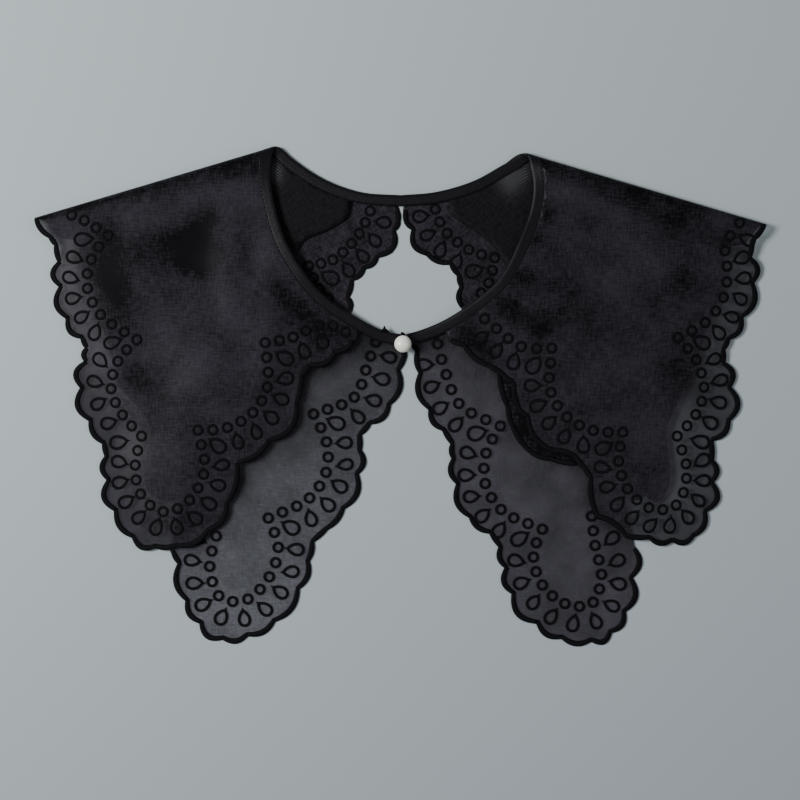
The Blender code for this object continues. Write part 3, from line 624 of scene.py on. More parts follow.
def thread(name, dark, light, roughness, pitch):
    """Close-laid thread: ridges across the stroke, each with a little painted highlight on its crown, with a slow
    change of tone from place to place."""
    made, tree, shader = new_finish(name, dark, roughness, 0.06)
    laid = use_group(tree, STITCH, Pitch=pitch)
    # painted highlight: each thread's crown is made a little lighter
    share = math_node(tree, "MULTIPLY", laid.outputs["Height"], laid.outputs["Tone"])
    tree.links.new(mix_colour(tree, share, (*dark, 1.0), (*light, 1.0)), shader.inputs["Base Color"])
    bump(tree, shader, laid.outputs["Height"], 0.6, 0.12)
    return made


ORGANZA = organza("black organza", (0.0034, 0.0030, 0.0038), (0.063, 0.057, 0.074), closeness=0.65, holes=0.16)
SHEER = organza("sheer black organza", (0.0036, 0.0030, 0.0036), (0.076, 0.064, 0.086), closeness=0.64, holes=0.34)
LINING = closed_cloth("black lining", (0.0020, 0.0020, 0.0024), (0.0130, 0.0128, 0.0150),
                      roughness=0.60, pitch=0.40, specular=0.08, gathered=True)
SATIN = closed_cloth("black satin", (0.0030, 0.0028, 0.0040), (0.009, 0.0084, 0.0118),
                     roughness=0.38, pitch=0.30, specular=0.17)
THREAD = thread("black embroidery thread", (0.0022, 0.0022, 0.0030), (0.0100, 0.0100, 0.0125),
                roughness=0.65, pitch=0.38)
print("cloth and thread:", [made.name for made in (ORGANZA, SHEER, LINING, SATIN, THREAD)])

# %% [markdown]
# The pearl is a creamy body under a clear coat. Nacre is faintly clouded. A painted shade turns this one
# greenish towards the front of the collar, where it faces away from the light. Plain noise and the piece's
# own y, in metres, say where.

# %% Finish of the pearl
PEARL, tree, shader = new_finish("cream pearl", (0.92, 0.91, 0.83), 0.20)
shader.inputs["Coat Weight"].default_value = 0.6
shader.inputs["Coat Roughness"].default_value = 0.08
bloom = tree.nodes.new("ShaderNodeTexNoise")
bloom.inputs["Scale"].default_value = 220.0
place = tree.nodes.new("ShaderNodeTexCoord")
split = tree.nodes.new("ShaderNodeSeparateXYZ")
tree.links.new(place.outputs["Object"], bloom.inputs["Vector"])
tree.links.new(place.outputs["Object"], split.inputs[0])
nacre = mix_colour(tree, bloom.outputs[0], (1.0, 1.0, 0.92, 1.0), (1.0, 0.98, 0.88, 1.0))
# painted shade: greenish towards the front of the collar
painted_shade_towards_front = math_node(tree, "MULTIPLY_ADD", split.outputs[1], -140.0, 4.2)
tree.links.new(mix_colour(tree, painted_shade_towards_front, nacre, (0.80, 0.82, 0.64, 1.0)), shader.inputs["Base Color"])
print("pearl:", PEARL.name)

# %% [markdown]
# ## Meshes from grids
# Every piece below is a grid of points that numpy works out whole. `grid_faces` joins neighbouring points
# into quads, and `make_piece` turns points, faces and flat-cloth coordinates into an object that rides on
# the collar.

# %% Turn arrays into pieces
def grid_faces(rows, columns, wrap=False):
    """Quads between the points of a grid, row by row; wrap joins the last column to the first."""
    index = np.arange(rows * columns).reshape(rows, columns)
    side = np.roll(index, -1, axis=1) if wrap else index[:, 1:]
    own = index if wrap else index[:, :-1]
    return np.stack([own[:-1], side[:-1], side[1:], own[1:]], axis=-1).reshape(-1, 4)


def make_piece(name, points, faces, finish, flat, extra=None):
    """An object from points in millimetres. flat is each point's place on the flat cloth, its UV map."""
    mesh = bpy.data.meshes.new(name)
    mesh.from_pydata((np.asarray(points) * MM).tolist(), [], [list(face) for face in faces])
    corners = np.empty(len(mesh.loops), np.int32)
    mesh.loops.foreach_get("vertex_index", corners)
    mesh.uv_layers.new(name="flat").data.foreach_set("uv", np.asarray(flat, np.float32)[corners].ravel())
    for title, values in (extra or {}).items():
        mesh.attributes.new(title, "FLOAT", "POINT").data.foreach_set("value", np.asarray(values, np.float32))
    mesh.materials.append(finish)
    mesh.shade_smooth()
    made = bpy.data.objects.new(name, mesh)
    bpy.context.scene.collection.objects.link(made)
    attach(made, "root")
    return made


def weld(made, distance=0.01):
    """Closes seams and poles: points that meet become one, and faces with no area go."""
    shell = bmesh.new()
    shell.from_mesh(made.data)
    bmesh.ops.remove_doubles(shell, verts=shell.verts[:], dist=distance * MM)
    bmesh.ops.dissolve_degenerate(shell, edges=shell.edges[:], dist=distance * MM)
    shell.to_mesh(made.data)
    shell.free()


def give_thickness(made, offset):
    """A thin wall: offset -1 lies on the inner side of the faces, 1 on the outer."""
    wall = made.modifiers.new("Cloth", "SOLIDIFY")
    wall.thickness = CLOTH * MM
    wall.offset = offset
    wall.use_rim = True


def triangles(made):
    """How many triangles a piece has, modifiers and all."""
    shown = made.evaluated_get(bpy.context.evaluated_depsgraph_get()).to_mesh()
    return sum(len(face.vertices) - 2 for face in shown.polygons)


print("a grid of 3 by 4 points has", len(grid_faces(3, 4)), "faces, as a tube", len(grid_faces(3, 4, wrap=True)))

# %% [markdown]
# ## The cloth
# A panel is a grid of points on the unfolded cloth, trimmed to the outline of its pattern piece. The
# trimming is a constrained Delaunay fill, so every scallop keeps its own edge. Rows lie closer together
# round the shoulder. The finished surface is `laid(u, v)`, worked out for the whole grid at once, and a
# Solidify modifier makes it as thin as real organza.

# %% Trim a grid to an outline
from mathutils import Vector
from mathutils.geometry import delaunay_2d_cdt

TUCK = 1.2          # how far the cloth goes under the binding
FOLD_ROWS = 17      # rows of points round the shoulder


def inner_points(outline, spacing, strip):
    """Points inside an outline: a triangular grid, and closer rows round a shoulder fold."""
    steps = np.array([spacing, spacing * np.sqrt(3) / 2])
    low, high = np.floor(outline.min(axis=0) / steps), np.ceil(outline.max(axis=0) / steps)
    row, column = np.meshgrid(np.arange(low[1], high[1]), np.arange(low[0], high[0]), indexing="ij")
    grid = np.column_stack([(column + row % 2 / 2).ravel(), row.ravel()]) * steps
    if strip:
        grid = grid[np.abs(grid[:, 1]) > FOLD_STRIP + 0.6]
        rows, along = np.meshgrid(
            np.linspace(-FOLD_STRIP, FOLD_STRIP, FOLD_ROWS), np.arange(low[0], high[0]) * spacing)
        grid = np.vstack([grid, np.column_stack([along.ravel(), rows.ravel()])])
    return grid[depth_inside(outline, grid) > spacing * 0.4]


def trimmed(outline, spacing, strip=False):
    """Points and triangles that fill an outline, wound anticlockwise."""
    corners = [Vector(p) for p in np.vstack([outline, inner_points(outline, spacing, strip)])]
    edges = [(i, (i + 1) % len(outline)) for i in range(len(outline))]
    flat, _, faces, *_ = delaunay_2d_cdt(corners, edges, [], 1, 1e-4)
    return np.array([tuple(p) for p in flat]), np.array(faces)


def flat_area(outline):
    """Area of a pattern piece in square metres, by the shoelace formula."""
    x, y = outline.T
    return abs(x @ np.roll(y, -1) - y @ np.roll(x, -1)) / 2 * MM * MM


def tuck_under(half, first, last):
    """The stretch of neck seam between two points, a little way under the binding."""
    seam = half.seam(TUCK)
    start, stop = (np.linalg.norm(seam - point, axis=1).argmin() for point in (first, last))
    return seam[start + 1 : stop]


square = np.array([(0.0, 0.0), (20.0, 0.0), (20.0, 20.0), (0.0, 20.0)])
print("a square of 20 mm is cut into", len(trimmed(square, 2.4)[1]), "triangles,", flat_area(square), "m2")

# %% [markdown]
# ## How the cloth catches the light, painted into its colour
# Black organza shows its folds as soft bright and dull places rather than as shadows. Two values say where,
# for every point of a panel. `painted_light` is painted sheen and shade: how much lighter or darker the cloth's
# colour is made, as soft bells on lines laid over the real collar's own bright and dull places. `cover` is how
# much more a panel hides than its weave alone does.

# %% Painted sheen and shade: bright and dull places
PAINTED_SHEEN_AND_SHADE = {
    # x, y at the start, x, y at the end, how much brighter the painted sheen makes it (negative: darker, painted
    # shade), half width
    "left": (
        (-116.0, 115.0, -84.0, 110.0, 0.24, 9.0),
        (-80.0, 108.0, -75.0, 74.0, 0.18, 7.0),
        (-95.0, 98.0, -92.0, 40.0, 0.16, 6.0),
        (-80.0, 62.0, -84.0, 44.0, 0.10, 8.0),
        (-122.0, 25.0, -94.0, 10.0, 0.14, 14.0),
        (-160.0, 104.0, -130.0, 108.0, 0.10, 8.0),
        (-138.0, -18.0, -137.0, -44.0, -0.18, 7.0),
        (-110.0, 88.0, -108.0, 75.0, -0.54, 11.0),
        (-122.0, 86.0, -119.0, 76.0, -0.30, 9.0),
        (-142.0, 84.0, -124.0, 80.0, -0.18, 10.0),
        (-161.0, 84.0, -159.0, 62.0, -0.22, 10.0),
        (-45.0, 38.0, -30.0, 34.0, -0.30, 8.0),
        (-104.0, 101.0, -103.0, 98.0, -0.25, 4.0),
        (-86.0, 78.0, -80.0, 70.0, -0.20, 5.0),
        (-66.0, 60.0, -52.0, 46.0, -0.32, 7.0),
        (-164.0, 76.0, -154.0, 54.0, -0.28, 12.0),
        (-146.0, 14.0, -130.0, -2.0, -0.25, 8.0),
        (-189.0, 92.0, -180.0, 88.0, 0.14, 9.0),
    ),
    "right": (
        (84.0, 114.0, 104.0, 106.0, 0.24, 9.0),
        (34.0, 36.0, 44.0, 27.0, -0.28, 8.0),
        (172.0, 100.0, 192.0, 90.0, 0.24, 9.0),
        (112.0, 92.0, 130.0, 78.0, 0.15, 12.0),
        (100.0, 62.0, 118.0, 56.0, 0.20, 12.0),
        (98.0, 20.0, 124.0, 0.0, 0.10, 16.0),
        (62.0, 67.0, 95.0, 58.0, -0.28, 7.0),
        (58.0, 50.0, 76.0, 37.0, -0.34, 7.0),
        (91.0, 47.0, 108.0, 37.0, -0.25, 8.0),
        (103.0, 96.0, 113.0, 90.0, -0.22, 7.0),
        (155.0, 65.0, 170.0, 60.0, -0.18, 8.0),
        (146.0, 15.0, 162.0, 3.0, -0.22, 8.0),
        (78.3, 127.0, 79.8, 98.0, -0.22, 4.0),
        (79.8, 98.0, 74.0, 84.0, -0.14, 4.0),
        (180.0, 92.0, 188.0, 88.0, 0.16, 8.0),
        (138.0, -20.0, 146.0, -38.0, 0.14, 14.0),
    ),
}
UPPER_PAINTED_SHEEN, BACK_PAINTED_SHEEN = 0.38, 0.28     # painted sheen of the upper tier's front away from those lines, and of its back
# The painted shade along the shoulder fold, where the cloth rolls away from the light: its width at the neck
# and at the tip, and how dark it is
FOLD_PAINTED_SHADE = {"left": (13.0, 4.5, 0.35), "right": (8.0, 23.0, 0.29)}
# The lower tiers' painted sheen: how bright it is in their middle, and how much brighter for each mm towards
# the front
LOWER_PAINTED_SHEEN = {"left": (0.43, 0.0019), "right": (0.44, 0.0)}


def painted_light(half, part, xy, side):
    """The painted sheen and shade of the cloth, 1 at most and below 0 where it is dullest. Upper tier: bells on
    the lines of PAINTED_SHEEN_AND_SHADE, and painted shade along the shoulder. Lower tier: a painted sheen,
    painted shadow beside the hem above it, and dimmer over the back. side is negative on the back."""
    if part == "lower":
        beyond = np.maximum(-depth_inside(half.front, xy), 0)
        over_back = ease(depth_inside(half.layers[0], xy) / 2)
        middle, slope = LOWER_PAINTED_SHEEN[half.name]
        # painted shadow of the hem above, fading over 7 mm beside it; the tier is also made dimmer over the back
        painted_shine = middle - slope * (xy[:, 1] + 40) - 0.22 * np.exp(-beyond / 7) - 0.30 * over_back
        return np.clip(painted_shine, 0, 1)
    painted_shine = np.full(len(xy), UPPER_PAINTED_SHEEN)
    # painted sheen along each line, or painted shade where its strength is negative
    for x0, y0, x1, y1, strength, width in PAINTED_SHEEN_AND_SHADE[half.name]:
        start, run = np.array([x0, y0]), np.array([x1 - x0, y1 - y0])
        share = np.clip((xy - start) @ run / (run @ run), 0, 1)
        away = np.linalg.norm(xy - start - share[:, None] * run, axis=1)
        painted_shine += strength * np.exp(-((away / width) ** 2))
    rel = xy - half.origin
    u, d = rel @ half.along, rel @ half.down
    at_neck, at_tip, shade = FOLD_PAINTED_SHADE[half.name]
    band = at_neck + (at_tip - at_neck) * np.clip(u / FOLD_LENGTH, 0, 1)
    # painted shade: the band along the shoulder fold is made darker
    painted_shine -= shade * (1 - ease((d - band + 4) / 8))
    return np.clip(np.where(side < 0, BACK_PAINTED_SHEEN, painted_shine), -0.3, 1)


COVER = {
    "upper": {"left": 0.42, "right": 0.08, "back": 1.50},
    "lower": {"left": 0.05, "right": 0.30},
}


def cover(half, part, xy, side):
    """A panel's own value from COVER. The upper tier's back is nearly closed. A lower tier hides 0.8 more
    where the back is under it. side is negative on the back."""
    own = COVER[part][half.name]
    if part == "lower":
        return own + 0.8 * ease(depth_inside(half.layers[0], xy) / 2)
    return np.where(side < 0, COVER[part]["back"], own)


print("bright and dull places:", {side: len(rows) for side, rows in PAINTED_SHEEN_AND_SHADE.items()})

# %% [markdown]
# By each shoulder the binding draws the lining into fine gathers, well under a millimetre deep. They are too
# fine for geometry, so their light is painted into the lining's colour: painted highlights on the crests of
# the pleats and a painted sheen on the smooth cloth beside. The mesh says where.

# %% Gathers of the lining, painted as highlights
GATHERS = {
    # the middle, the reach, the direction across the pleats, the strength of their painted highlights, the painted
    # sheen on the smooth cloth beside
    "left": ((-69.0, 123.5), (4.5, 7.0), (0.35, 0.62), 0.8, 0.0),
    "right": ((68.0, 123.0), (4.0, 6.0), (-0.30, 0.60), 0.45, 1.0),
}
PAINTED_SHEEN_PLACE, PAINTED_SHEEN_REACH = (60.0, 120.0), (7.0, 9.0)
print("pleats in 10 mm:", {side: round(10 * float(np.hypot(*row[2])), 1) for side, row in GATHERS.items()})


def gathers(half, xy):
    """Pleats by count along their direction, a little curved; the strength of their painted highlights, a bell
    round their middle; and the painted sheen on the smooth cloth, another bell."""
    middle, reach, across, strength, smooth = (np.array(row) for row in GATHERS[half.name])
    rel = xy - middle
    pleat = rel @ across + 0.02 * (rel[:, 0] ** 2)
    painted_pleat_light = strength * np.exp(-((rel / reach) ** 2).sum(axis=1))
    # painted sheen on the smooth lining beside the gathers
    light = np.exp(-(((xy - np.array(PAINTED_SHEEN_PLACE)) / np.array(PAINTED_SHEEN_REACH)) ** 2).sum(axis=1))
    return {"pleat": pleat, "painted_pleat_light": painted_pleat_light, "smooth": smooth * light}


# %% Cut and lay the panels
def upper_pattern(half):
    """The upper tier unfolded: front hem, neck seam, visible back hem and the hidden plain edge."""
    hem = half.pattern(scallops(UPPER_HEM[half.name], half.outward), 1)
    back = half.pattern(scallops(BACK_HEM[half.name], -half.outward), -1)
    plain = half.pattern(smooth_line(BACK_EDGE[half.name], 3.0)[1:], -1)
    return np.vstack([hem, tuck_under(half, hem[-1], back[0]), back, plain])


def lining_pattern(half):
    """The lining unfolded."""
    front = half.pattern(smooth_line(LINING_FRONT_EDGE[half.name], 3.0), 1)[::-1]
    back = half.pattern(smooth_line(LINING_BACK_EDGE[half.name], 3.0), -1)
    return np.vstack([front, tuck_under(half, front[-1], back[0]), back])


def lower_pattern(half):
    """The lower tier, whose pattern is its own plan."""
    seam = half.plan(half.seam(TUCK))[0]
    front = half.cut(seam, LOWER_EDGE[half.name][-1])
    return np.vstack([
        scallops(LOWER_HEM[half.name], -half.outward), smooth_line(LOWER_EDGE[half.name], 3.0)[1:-1], front[::-1],
    ])


def lay_cloth(part, half, outline, spacing, finish, inset=None):
    """A panel of thin cloth: folded over if it has an inset, otherwise the lower tier. Its UV map is its
    grain, upright in the plan on both halves."""
    flat, faces = trimmed(outline, spacing, strip=inset is not None)
    if inset is None:
        points = np.column_stack([flat, half.lower_height(flat)])
        xy = flat
    else:
        points = half.laid(flat, inset)
        xy = points[:, :2]
        if half.outward < 0:
            faces = faces[:, ::-1]
    sides = flat[:, 1] if inset is not None else np.ones(len(flat))
    grain = flat if inset is None else flat @ np.stack([half.along, half.down])
    # each point carries its painted sheen and shade; on the lining, the painted highlights of its gathers
    looks = gathers(half, xy) if part == "lining" else {
        "painted_light": painted_light(half, part, xy, sides), "cover": cover(half, part, xy, sides)}
    made = make_piece(f"{part}_{half.name}_cloth", points, faces, finish, grain, looks)
    give_thickness(made, -1.0)
    return made


cloths, cuts = {}, {}
for name, half in halves.items():
    for part, pattern, spacing, finish, inset in (
        ("upper", upper_pattern, 2.4, ORGANZA, 0.0),
        ("lining", lining_pattern, 3.0, LINING, LAYER),
        ("lower", lower_pattern, 2.4, SHEER, None),
    ):
        outline = pattern(half)
        made = lay_cloth(part, half, outline, spacing, finish, inset)
        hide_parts(f"{part}_{name}")
        cloths[part, name], cuts[part, name] = made, outline
        print(made.name, triangles(made), "triangles,", round(flat_area(outline) * 10000), "cm2")

# %% [markdown]
# ## The border
# The embroidery follows the hem in three kinds of stroke, all in satin stitch: a cord that closes the edge
# of every scallop, a row of rings further in, and between them a row of drops whose tips point at the
# rings. The ring row is drawn first, as a line through a few points with sharp corners where it steps in.
# Rings and drops are then counted off along it, evenly, with one of each at every corner.

# %% The line of the rings: x, y, and 1 at a corner
RING_LINE = {
    ("lower", "left"): (
        (-14.1, 30.0, 0), (-18.3, 17.9, 0), (-25.7, -0.3, 0), (-48.2, -9.6, 1), (-41.1, -24.5, 0),
        (-41.1, -41.2, 0), (-50.7, -56.1, 0), (-73.0, -66.8, 1), (-67.5, -82.8, 0), (-72.7, -99.6, 0),
        (-85.6, -111.9, 0), (-99.4, -110.3, 0), (-105.2, -92.7, 0), (-101.6, -76.7, 0),
    ),
    ("lower", "right"): (
        (20.0, 28.9, 0), (24.4, 13.5, 0), (32.6, -4.7, 0), (54.6, -16.2, 1), (46.9, -30.5, 0),
        (46.4, -48.1, 0), (56.0, -63.0, 0), (77.7, -72.9, 1), (72.8, -86.6, 0), (77.4, -103.1, 0),
        (90.4, -113.9, 0), (104.7, -113.9, 0), (110.2, -98.7, 0), (106.9, -82.8, 0), (104.7, -65.7, 0),
    ),
    ("upper", "left"): (
        (-180.0, 99.2, 0), (-174.2, 96.9, 0), (-160.4, 88.3, 1), (-169.2, 75.6, 0), (-171.7, 60.2, 0),
        (-164.3, 44.8, 0),
        (-144.5, 31.1, 1), (-154.4, 20.1, 0), (-158.8, 4.7, 0), (-152.5, -10.2, 0), (-142.0, -21.7, 1),
        (-145.6, -37.7, 0), (-142.6, -53.6, 0), (-130.7, -63.0, 0), (-117.0, -58.0, 0),
        (-107.6, -40.4, 0), (-110.9, -18.4, 1), (-95.5, -17.1, 0), (-80.7, -8.5, 0), (-73.0, 6.1, 0),
        (-74.1, 29.4, 1), (-59.8, 32.2, 0), (-44.9, 39.3, 0), (-37.0, 38.6, 0), (-30.5, 35.4, 0),
    ),
    ("upper", "right"): (
        (185.0, 95.0, 0), (179.0, 86.0, 0), (177.1, 77.3, 0), (178.9, 69.0, 0), (176.2, 53.1, 0),
        (166.3, 40.4, 0), (151.4, 32.2, 1),
        (161.6, 20.1, 0), (166.3, 3.9, 0), (161.3, -10.7, 0), (151.4, -21.7, 1), (156.9, -41.5, 0),
        (150.9, -59.7, 0), (137.1, -61.3, 0), (124.5, -51.4, 0), (119.0, -35.8, 0), (121.2, -19.5, 1),
        (105.8, -18.7, 0), (90.9, -11.3, 0), (81.6, 3.6, 0), (82.4, 26.4, 1), (66.2, 27.2, 0),
        (45.8, 42.6, 0),
    ),
    ("back", "left"): (
        (-16.9, 102.0, 0), (-22.4, 90.5, 0), (-36.7, 75.6, 0), (-50.7, 71.8, 1), (-45.5, 60.2, 0), (-40.0, 54.0, 0),
    ),
    ("back", "right"): (
        (18.9, 103.1, 0), (23.8, 91.6, 0), (38.5, 80.2, 0), (51.5, 76.3, 1), (48.4, 63.0, 0), (44.0, 57.0, 0),
    ),
}
print("ring lines:", {"_".join(key): len(rows) for key, rows in RING_LINE.items()})

# %% Count rings and drops along the line
RING_PITCH = {"upper": 8.25, "lower": 8.25, "back": 7.4}
RING_RADIUS, RING_STROKE = 2.45, 1.5
DROP_ROWS = {"upper": (11.2, 9.1), "lower": (12.6, 9.6), "back": (10.9, 9.0)}   # pitch, distance from the rings
CORNER_DROP_AWAY = 13.4
CORNER_TRIM = 6        # points of a stretch that make room for a corner drop
TIP_TURN = 0.06        # how far the tips lean towards the middle of their stretch
SPARE_PITCH = 0.15     # how much of a pitch may be missing for one more drop at an open end
DROP_LENGTH, DROP_WIDTH, DROP_STROKE = 8.4, 6.0, 1.5
CORD_WIDTH, CORD_INSET = 3.2, 1.35


def unit(vector):
    """A vector of length 1."""
    return vector / np.maximum(np.linalg.norm(vector, axis=-1, keepdims=True), 1e-9)


def steps_of(rows):
    """The ring line as smooth stretches between its corners."""
    rows = np.array(rows, float)
    ends = [0, *np.flatnonzero(rows[:, 2] > 0), len(rows) - 1]
    return [smooth_line(rows[a : b + 1, :2], 0.5) for a, b in zip(ends, ends[1:])]


def ring_places(steps, pitch):
    """Ring centres: each stretch is shared out into whole pitches."""
    counts = [max(1, round(run_of(step)[-1] / pitch)) for step in steps]
    parts = [spread(step, np.arange(n) / n) for step, n in zip(steps, counts)]
    return np.vstack(parts + [steps[-1][-1:]])


def corner_drops(steps):
    """At each corner a drop lies out along the line that halves the corner's angle."""
    corners = []
    for before, after in zip(steps, steps[1:]):
        way = unit(unit(before[-12] - before[-1]) + unit(after[12] - after[0]))
        corners.append(after[0] + CORNER_DROP_AWAY * way)
    return corners


def drop_places(steps, side, pitch, away):
    """Drop centres and the ring-line points they turn their tips to. Each stretch moves out by away, is
    trimmed where the corner drops are, and is shared out evenly; open ends are filled from the corner."""
    corners = [None, *corner_drops(steps), None]
    places, aims, big = [], [], []
    for step, first, last in zip(steps, corners, corners[1:]):
        line = beside(step, side * away)
        line = line[np.linalg.norm(line[:, None] - step[None], axis=2).min(axis=1) > away * 0.97]
        if first is not None:
            near = np.linalg.norm(line - first, axis=1).argmin()
            line = np.vstack([first, line[near + CORNER_TRIM :]])
        if last is not None:
            near = np.linalg.norm(line - last, axis=1).argmin()
            line = np.vstack([line[: max(near - CORNER_TRIM, 1)], last])
        total = run_of(line)[-1]
        if first is not None and last is not None:
            count = max(1, round(total / pitch))
            shares = np.arange(count) / count
        elif last is not None:
            shares = 1 - np.arange(1, int(total / pitch) + 1) * pitch / total
        else:
            shares = np.arange(int(total / pitch + SPARE_PITCH) + 1) * pitch / total
        centres = spread(line, shares)
        nearest = np.linalg.norm(centres[:, None] - step[None], axis=2).argmin(axis=1)
        middle = step[len(step) // 2]
        aim = step[nearest] + TIP_TURN * (middle - step[nearest])
        at_corner = np.zeros(len(shares), bool)
        if first is not None:
            at_corner[0] = True
            aim[0] = step[0]
        places.append(centres)
        aims.append(aim)
        big.append(at_corner)
    return np.vstack(places), np.vstack(aims), np.concatenate(big)


for key, rows in RING_LINE.items():
    steps = steps_of(rows)
    print("_".join(key), len(ring_places(steps, RING_PITCH[key[0]])), "rings,", len(corner_drops(steps)), "corners")

# %% [markdown]
# Every stroke has the same section: a low arch of thread over the cloth, closed underneath. `strokes`
# carries that section along many paths at once and lifts each point by the height of the cloth there, so
# the border dips and rises with the folds.

# %% Stitch strokes on the cloth
def strokes(paths, width, rise, surface, closed, sides=4):
    """Arches of thread along paths (number, points, 2). Across the path the arch is -cos a, and its height
    sin a, for a from 0 to pi. Width may change along the path. surface turns flat places and a height over
    the cloth into points. Returns points, faces and flat places."""
    if closed:
        along = np.roll(paths, -1, axis=1) - np.roll(paths, 1, axis=1)
    else:
        along = np.gradient(paths, axis=1)
    along = unit(along)
    across = np.stack([along[..., 1], -along[..., 0]], axis=-1)
    arch = np.linspace(0, np.pi, sides)
    width = np.broadcast_to(width, paths.shape[:2])
    offset = -np.cos(arch)[None, None, :] * width[..., None] / 2
    xy = paths[:, :, None, :] + offset[..., None] * across[:, :, None, :]
    lift = np.broadcast_to(np.sin(arch) * rise, offset.shape) * np.minimum(width / np.max(width), 1)[..., None]
    points = surface(xy.reshape(-1, 2), lift.ravel())
    index = np.arange(offset.size).reshape(offset.shape)
    ahead = np.roll(index, -1, axis=1) if closed else index[:, 1:]
    own = index if closed else index[:, :-1]
    faces = np.stack([own, np.roll(own, -1, axis=2), np.roll(ahead, -1, axis=2), ahead], axis=-1)
    faces = faces.reshape(-1, 4).tolist()
    if not closed:
        faces += index[:, 0, ::-1].tolist() + index[:, -1].tolist()
    steps = np.linalg.norm(np.diff(paths, axis=1, prepend=paths[:, :1]), axis=2)
    run = np.cumsum(steps, axis=1) + np.arange(len(paths))[:, None] * 3.7
    flat = np.stack([np.broadcast_to(run[..., None], offset.shape), offset], axis=-1).reshape(-1, 2)
    return points, faces, flat


def joined_strokes(parts):
    """Several sets of strokes as one mesh."""
    points, faces, flat, count = [], [], [], 0
    for part_points, part_faces, part_flat in parts:
        points.append(part_points)
        flat.append(part_flat)
        faces += [[corner + count for corner in face] for face in part_faces]
        count += len(part_points)
    return np.vstack(points), faces, np.vstack(flat)


def over(ground):
    """A surface from a height function of x and y."""
    return lambda xy, lift: np.column_stack([xy, ground(xy) + lift])


def ring_strokes(places, ground):
    """Circles of thread."""
    turn = np.linspace(0, 2 * np.pi, 16, endpoint=False)
    circle = RING_RADIUS * np.column_stack([np.cos(turn), np.sin(turn)])
    return strokes(places[:, None] + circle[None], RING_STROKE, 0.5, ground, closed=True)


def drop_strokes(places, aims, big, rng, ground):
    """Teardrops: x = cos t, y = sin t times a power of sin(t / 2), scaled to a drop's length and width,
    with the tip at t = 0 turned to its aim. A short tapered tail runs on from the tip."""
    turn = np.linspace(0, 2 * np.pi, 20, endpoint=False)
    drop = np.column_stack([np.cos(turn), 1.19 * np.sin(turn) * np.sin(turn / 2) ** 0.6])
    size = np.where(big, 1.14, 1.0) * rng.uniform(0.96, 1.05, len(places))
    long, wide = DROP_LENGTH / 2 * size, DROP_WIDTH / 2 * size * rng.uniform(0.95, 1.05, len(places))
    way = unit(aims - places)
    askew = rng.normal(0, 0.20, len(places))[:, None]
    way = unit(way + askew * np.stack([-way[:, 1], way[:, 0]], axis=1))
    side = np.stack([-way[:, 1], way[:, 0]], axis=1)
    shape = (drop[None, :, :1] * long[:, None, None] * way[:, None]
             + drop[None, :, 1:] * wide[:, None, None] * side[:, None])
    loops = strokes(places[:, None] + shape, DROP_STROKE, 0.5, ground, closed=True)
    reach = np.linspace(0, 1.8, 5)[None, :, None] + long[:, None, None]
    tails = places[:, None] + reach * way[:, None]
    taper = np.array([1.5, 1.25, 1.0, 0.7, 0.3])
    return [loops, strokes(tails, taper, 0.45, ground, closed=False)]


def cord_strokes(rows, outward, ground):
    """The satin cord that closes the scallops, just inside the edge. Each scallop has its own stroke, whose
    ends run on a little past the notch, so that neighbours cross there and make its sharp point. The row's
    own two ends stop short of the fold or the binding."""
    rows = np.array(rows, float)
    start, stop, swell = rows[:-1, None, :2], rows[1:, None, :2], rows[:-1, 2][:, None, None]
    chord = stop - start
    across = np.stack([chord[..., 1], -chord[..., 0]], axis=-1) * outward
    past = np.full((2, len(chord)), 0.9)
    past[0, 0] = past[1, -1] = -0.8
    before, beyond = past[:, :, None, None] / np.linalg.norm(chord, axis=2)[..., None]
    t = -before + (1 + before + beyond) * np.linspace(0, 1, 12)[None, :, None]
    line = start + t * chord + 4 * t * (1 - t) * swell * across
    slope = chord + 4 * (1 - 2 * t) * swell * across
    inward = -unit(np.stack([slope[..., 1], -slope[..., 0]], axis=-1) * outward)
    width = CORD_WIDTH * (0.66 + 0.34 * np.sin(np.pi * np.linspace(0, 1, 12)) ** 0.7)
    return strokes(line + CORD_INSET * inward, width, 0.6, ground, closed=False, sides=6)


# %% Embroider the four fronts and the two back hems
def border(kind, half, rng):
    """Cord, rings and drops of one hem."""
    hem_rows = {"upper": UPPER_HEM, "lower": LOWER_HEM, "back": BACK_HEM}[kind][half.name]
    side = half.outward if kind == "upper" else -half.outward
    ground = over({
        "upper": half.front_height,
        "lower": half.lower_height,
        "back": lambda xy: np.full(len(xy), CLOTH),
    }[kind])
    steps = steps_of(RING_LINE[kind, half.name])
    rings = ring_places(steps, RING_PITCH[kind])
    places, aims, big = drop_places(steps, side, *DROP_ROWS[kind])
    parts = [
        cord_strokes(hem_rows, side, ground),
        ring_strokes(rings, ground),
        *drop_strokes(places, aims, big, rng, ground),
    ]
    if (kind, half.name) == ("back", "right"):
        parts.append(cord_strokes(BACK_PEEK, side, over(half.lower_height)))
    points, faces, flat = joined_strokes(parts)
    made = make_piece(f"{kind}_{half.name}_embroidery", points, faces, THREAD, flat)
    return made


embroidery = {}
rng = np.random.default_rng(7)
for name, half in halves.items():
    for kind in ("upper", "lower", "back"):
        embroidery[kind, name] = border(kind, half, rng)
        print(embroidery[kind, name].name, triangles(embroidery[kind, name]), "triangles")

# %% [markdown]
# ## The binding of the neck
# A bias strip of satin closes the neck edge: it is folded over the layers and stitched down. Being cut on
# the bias, it goes round the curve without pleats. It is a rounded section carried along the neck, from
# the centre front over the shoulder to the centre back and round to the front again.

# %% Carry the binding round the neck
BINDING_LIFT, BINDING_FRONT, BINDING_BACK = 0.4, 1.5, 2.5
STITCH_PLACE, STITCH_GROOVE = -0.80, 0.12    # where the seam runs, as a share of half the width; its depth

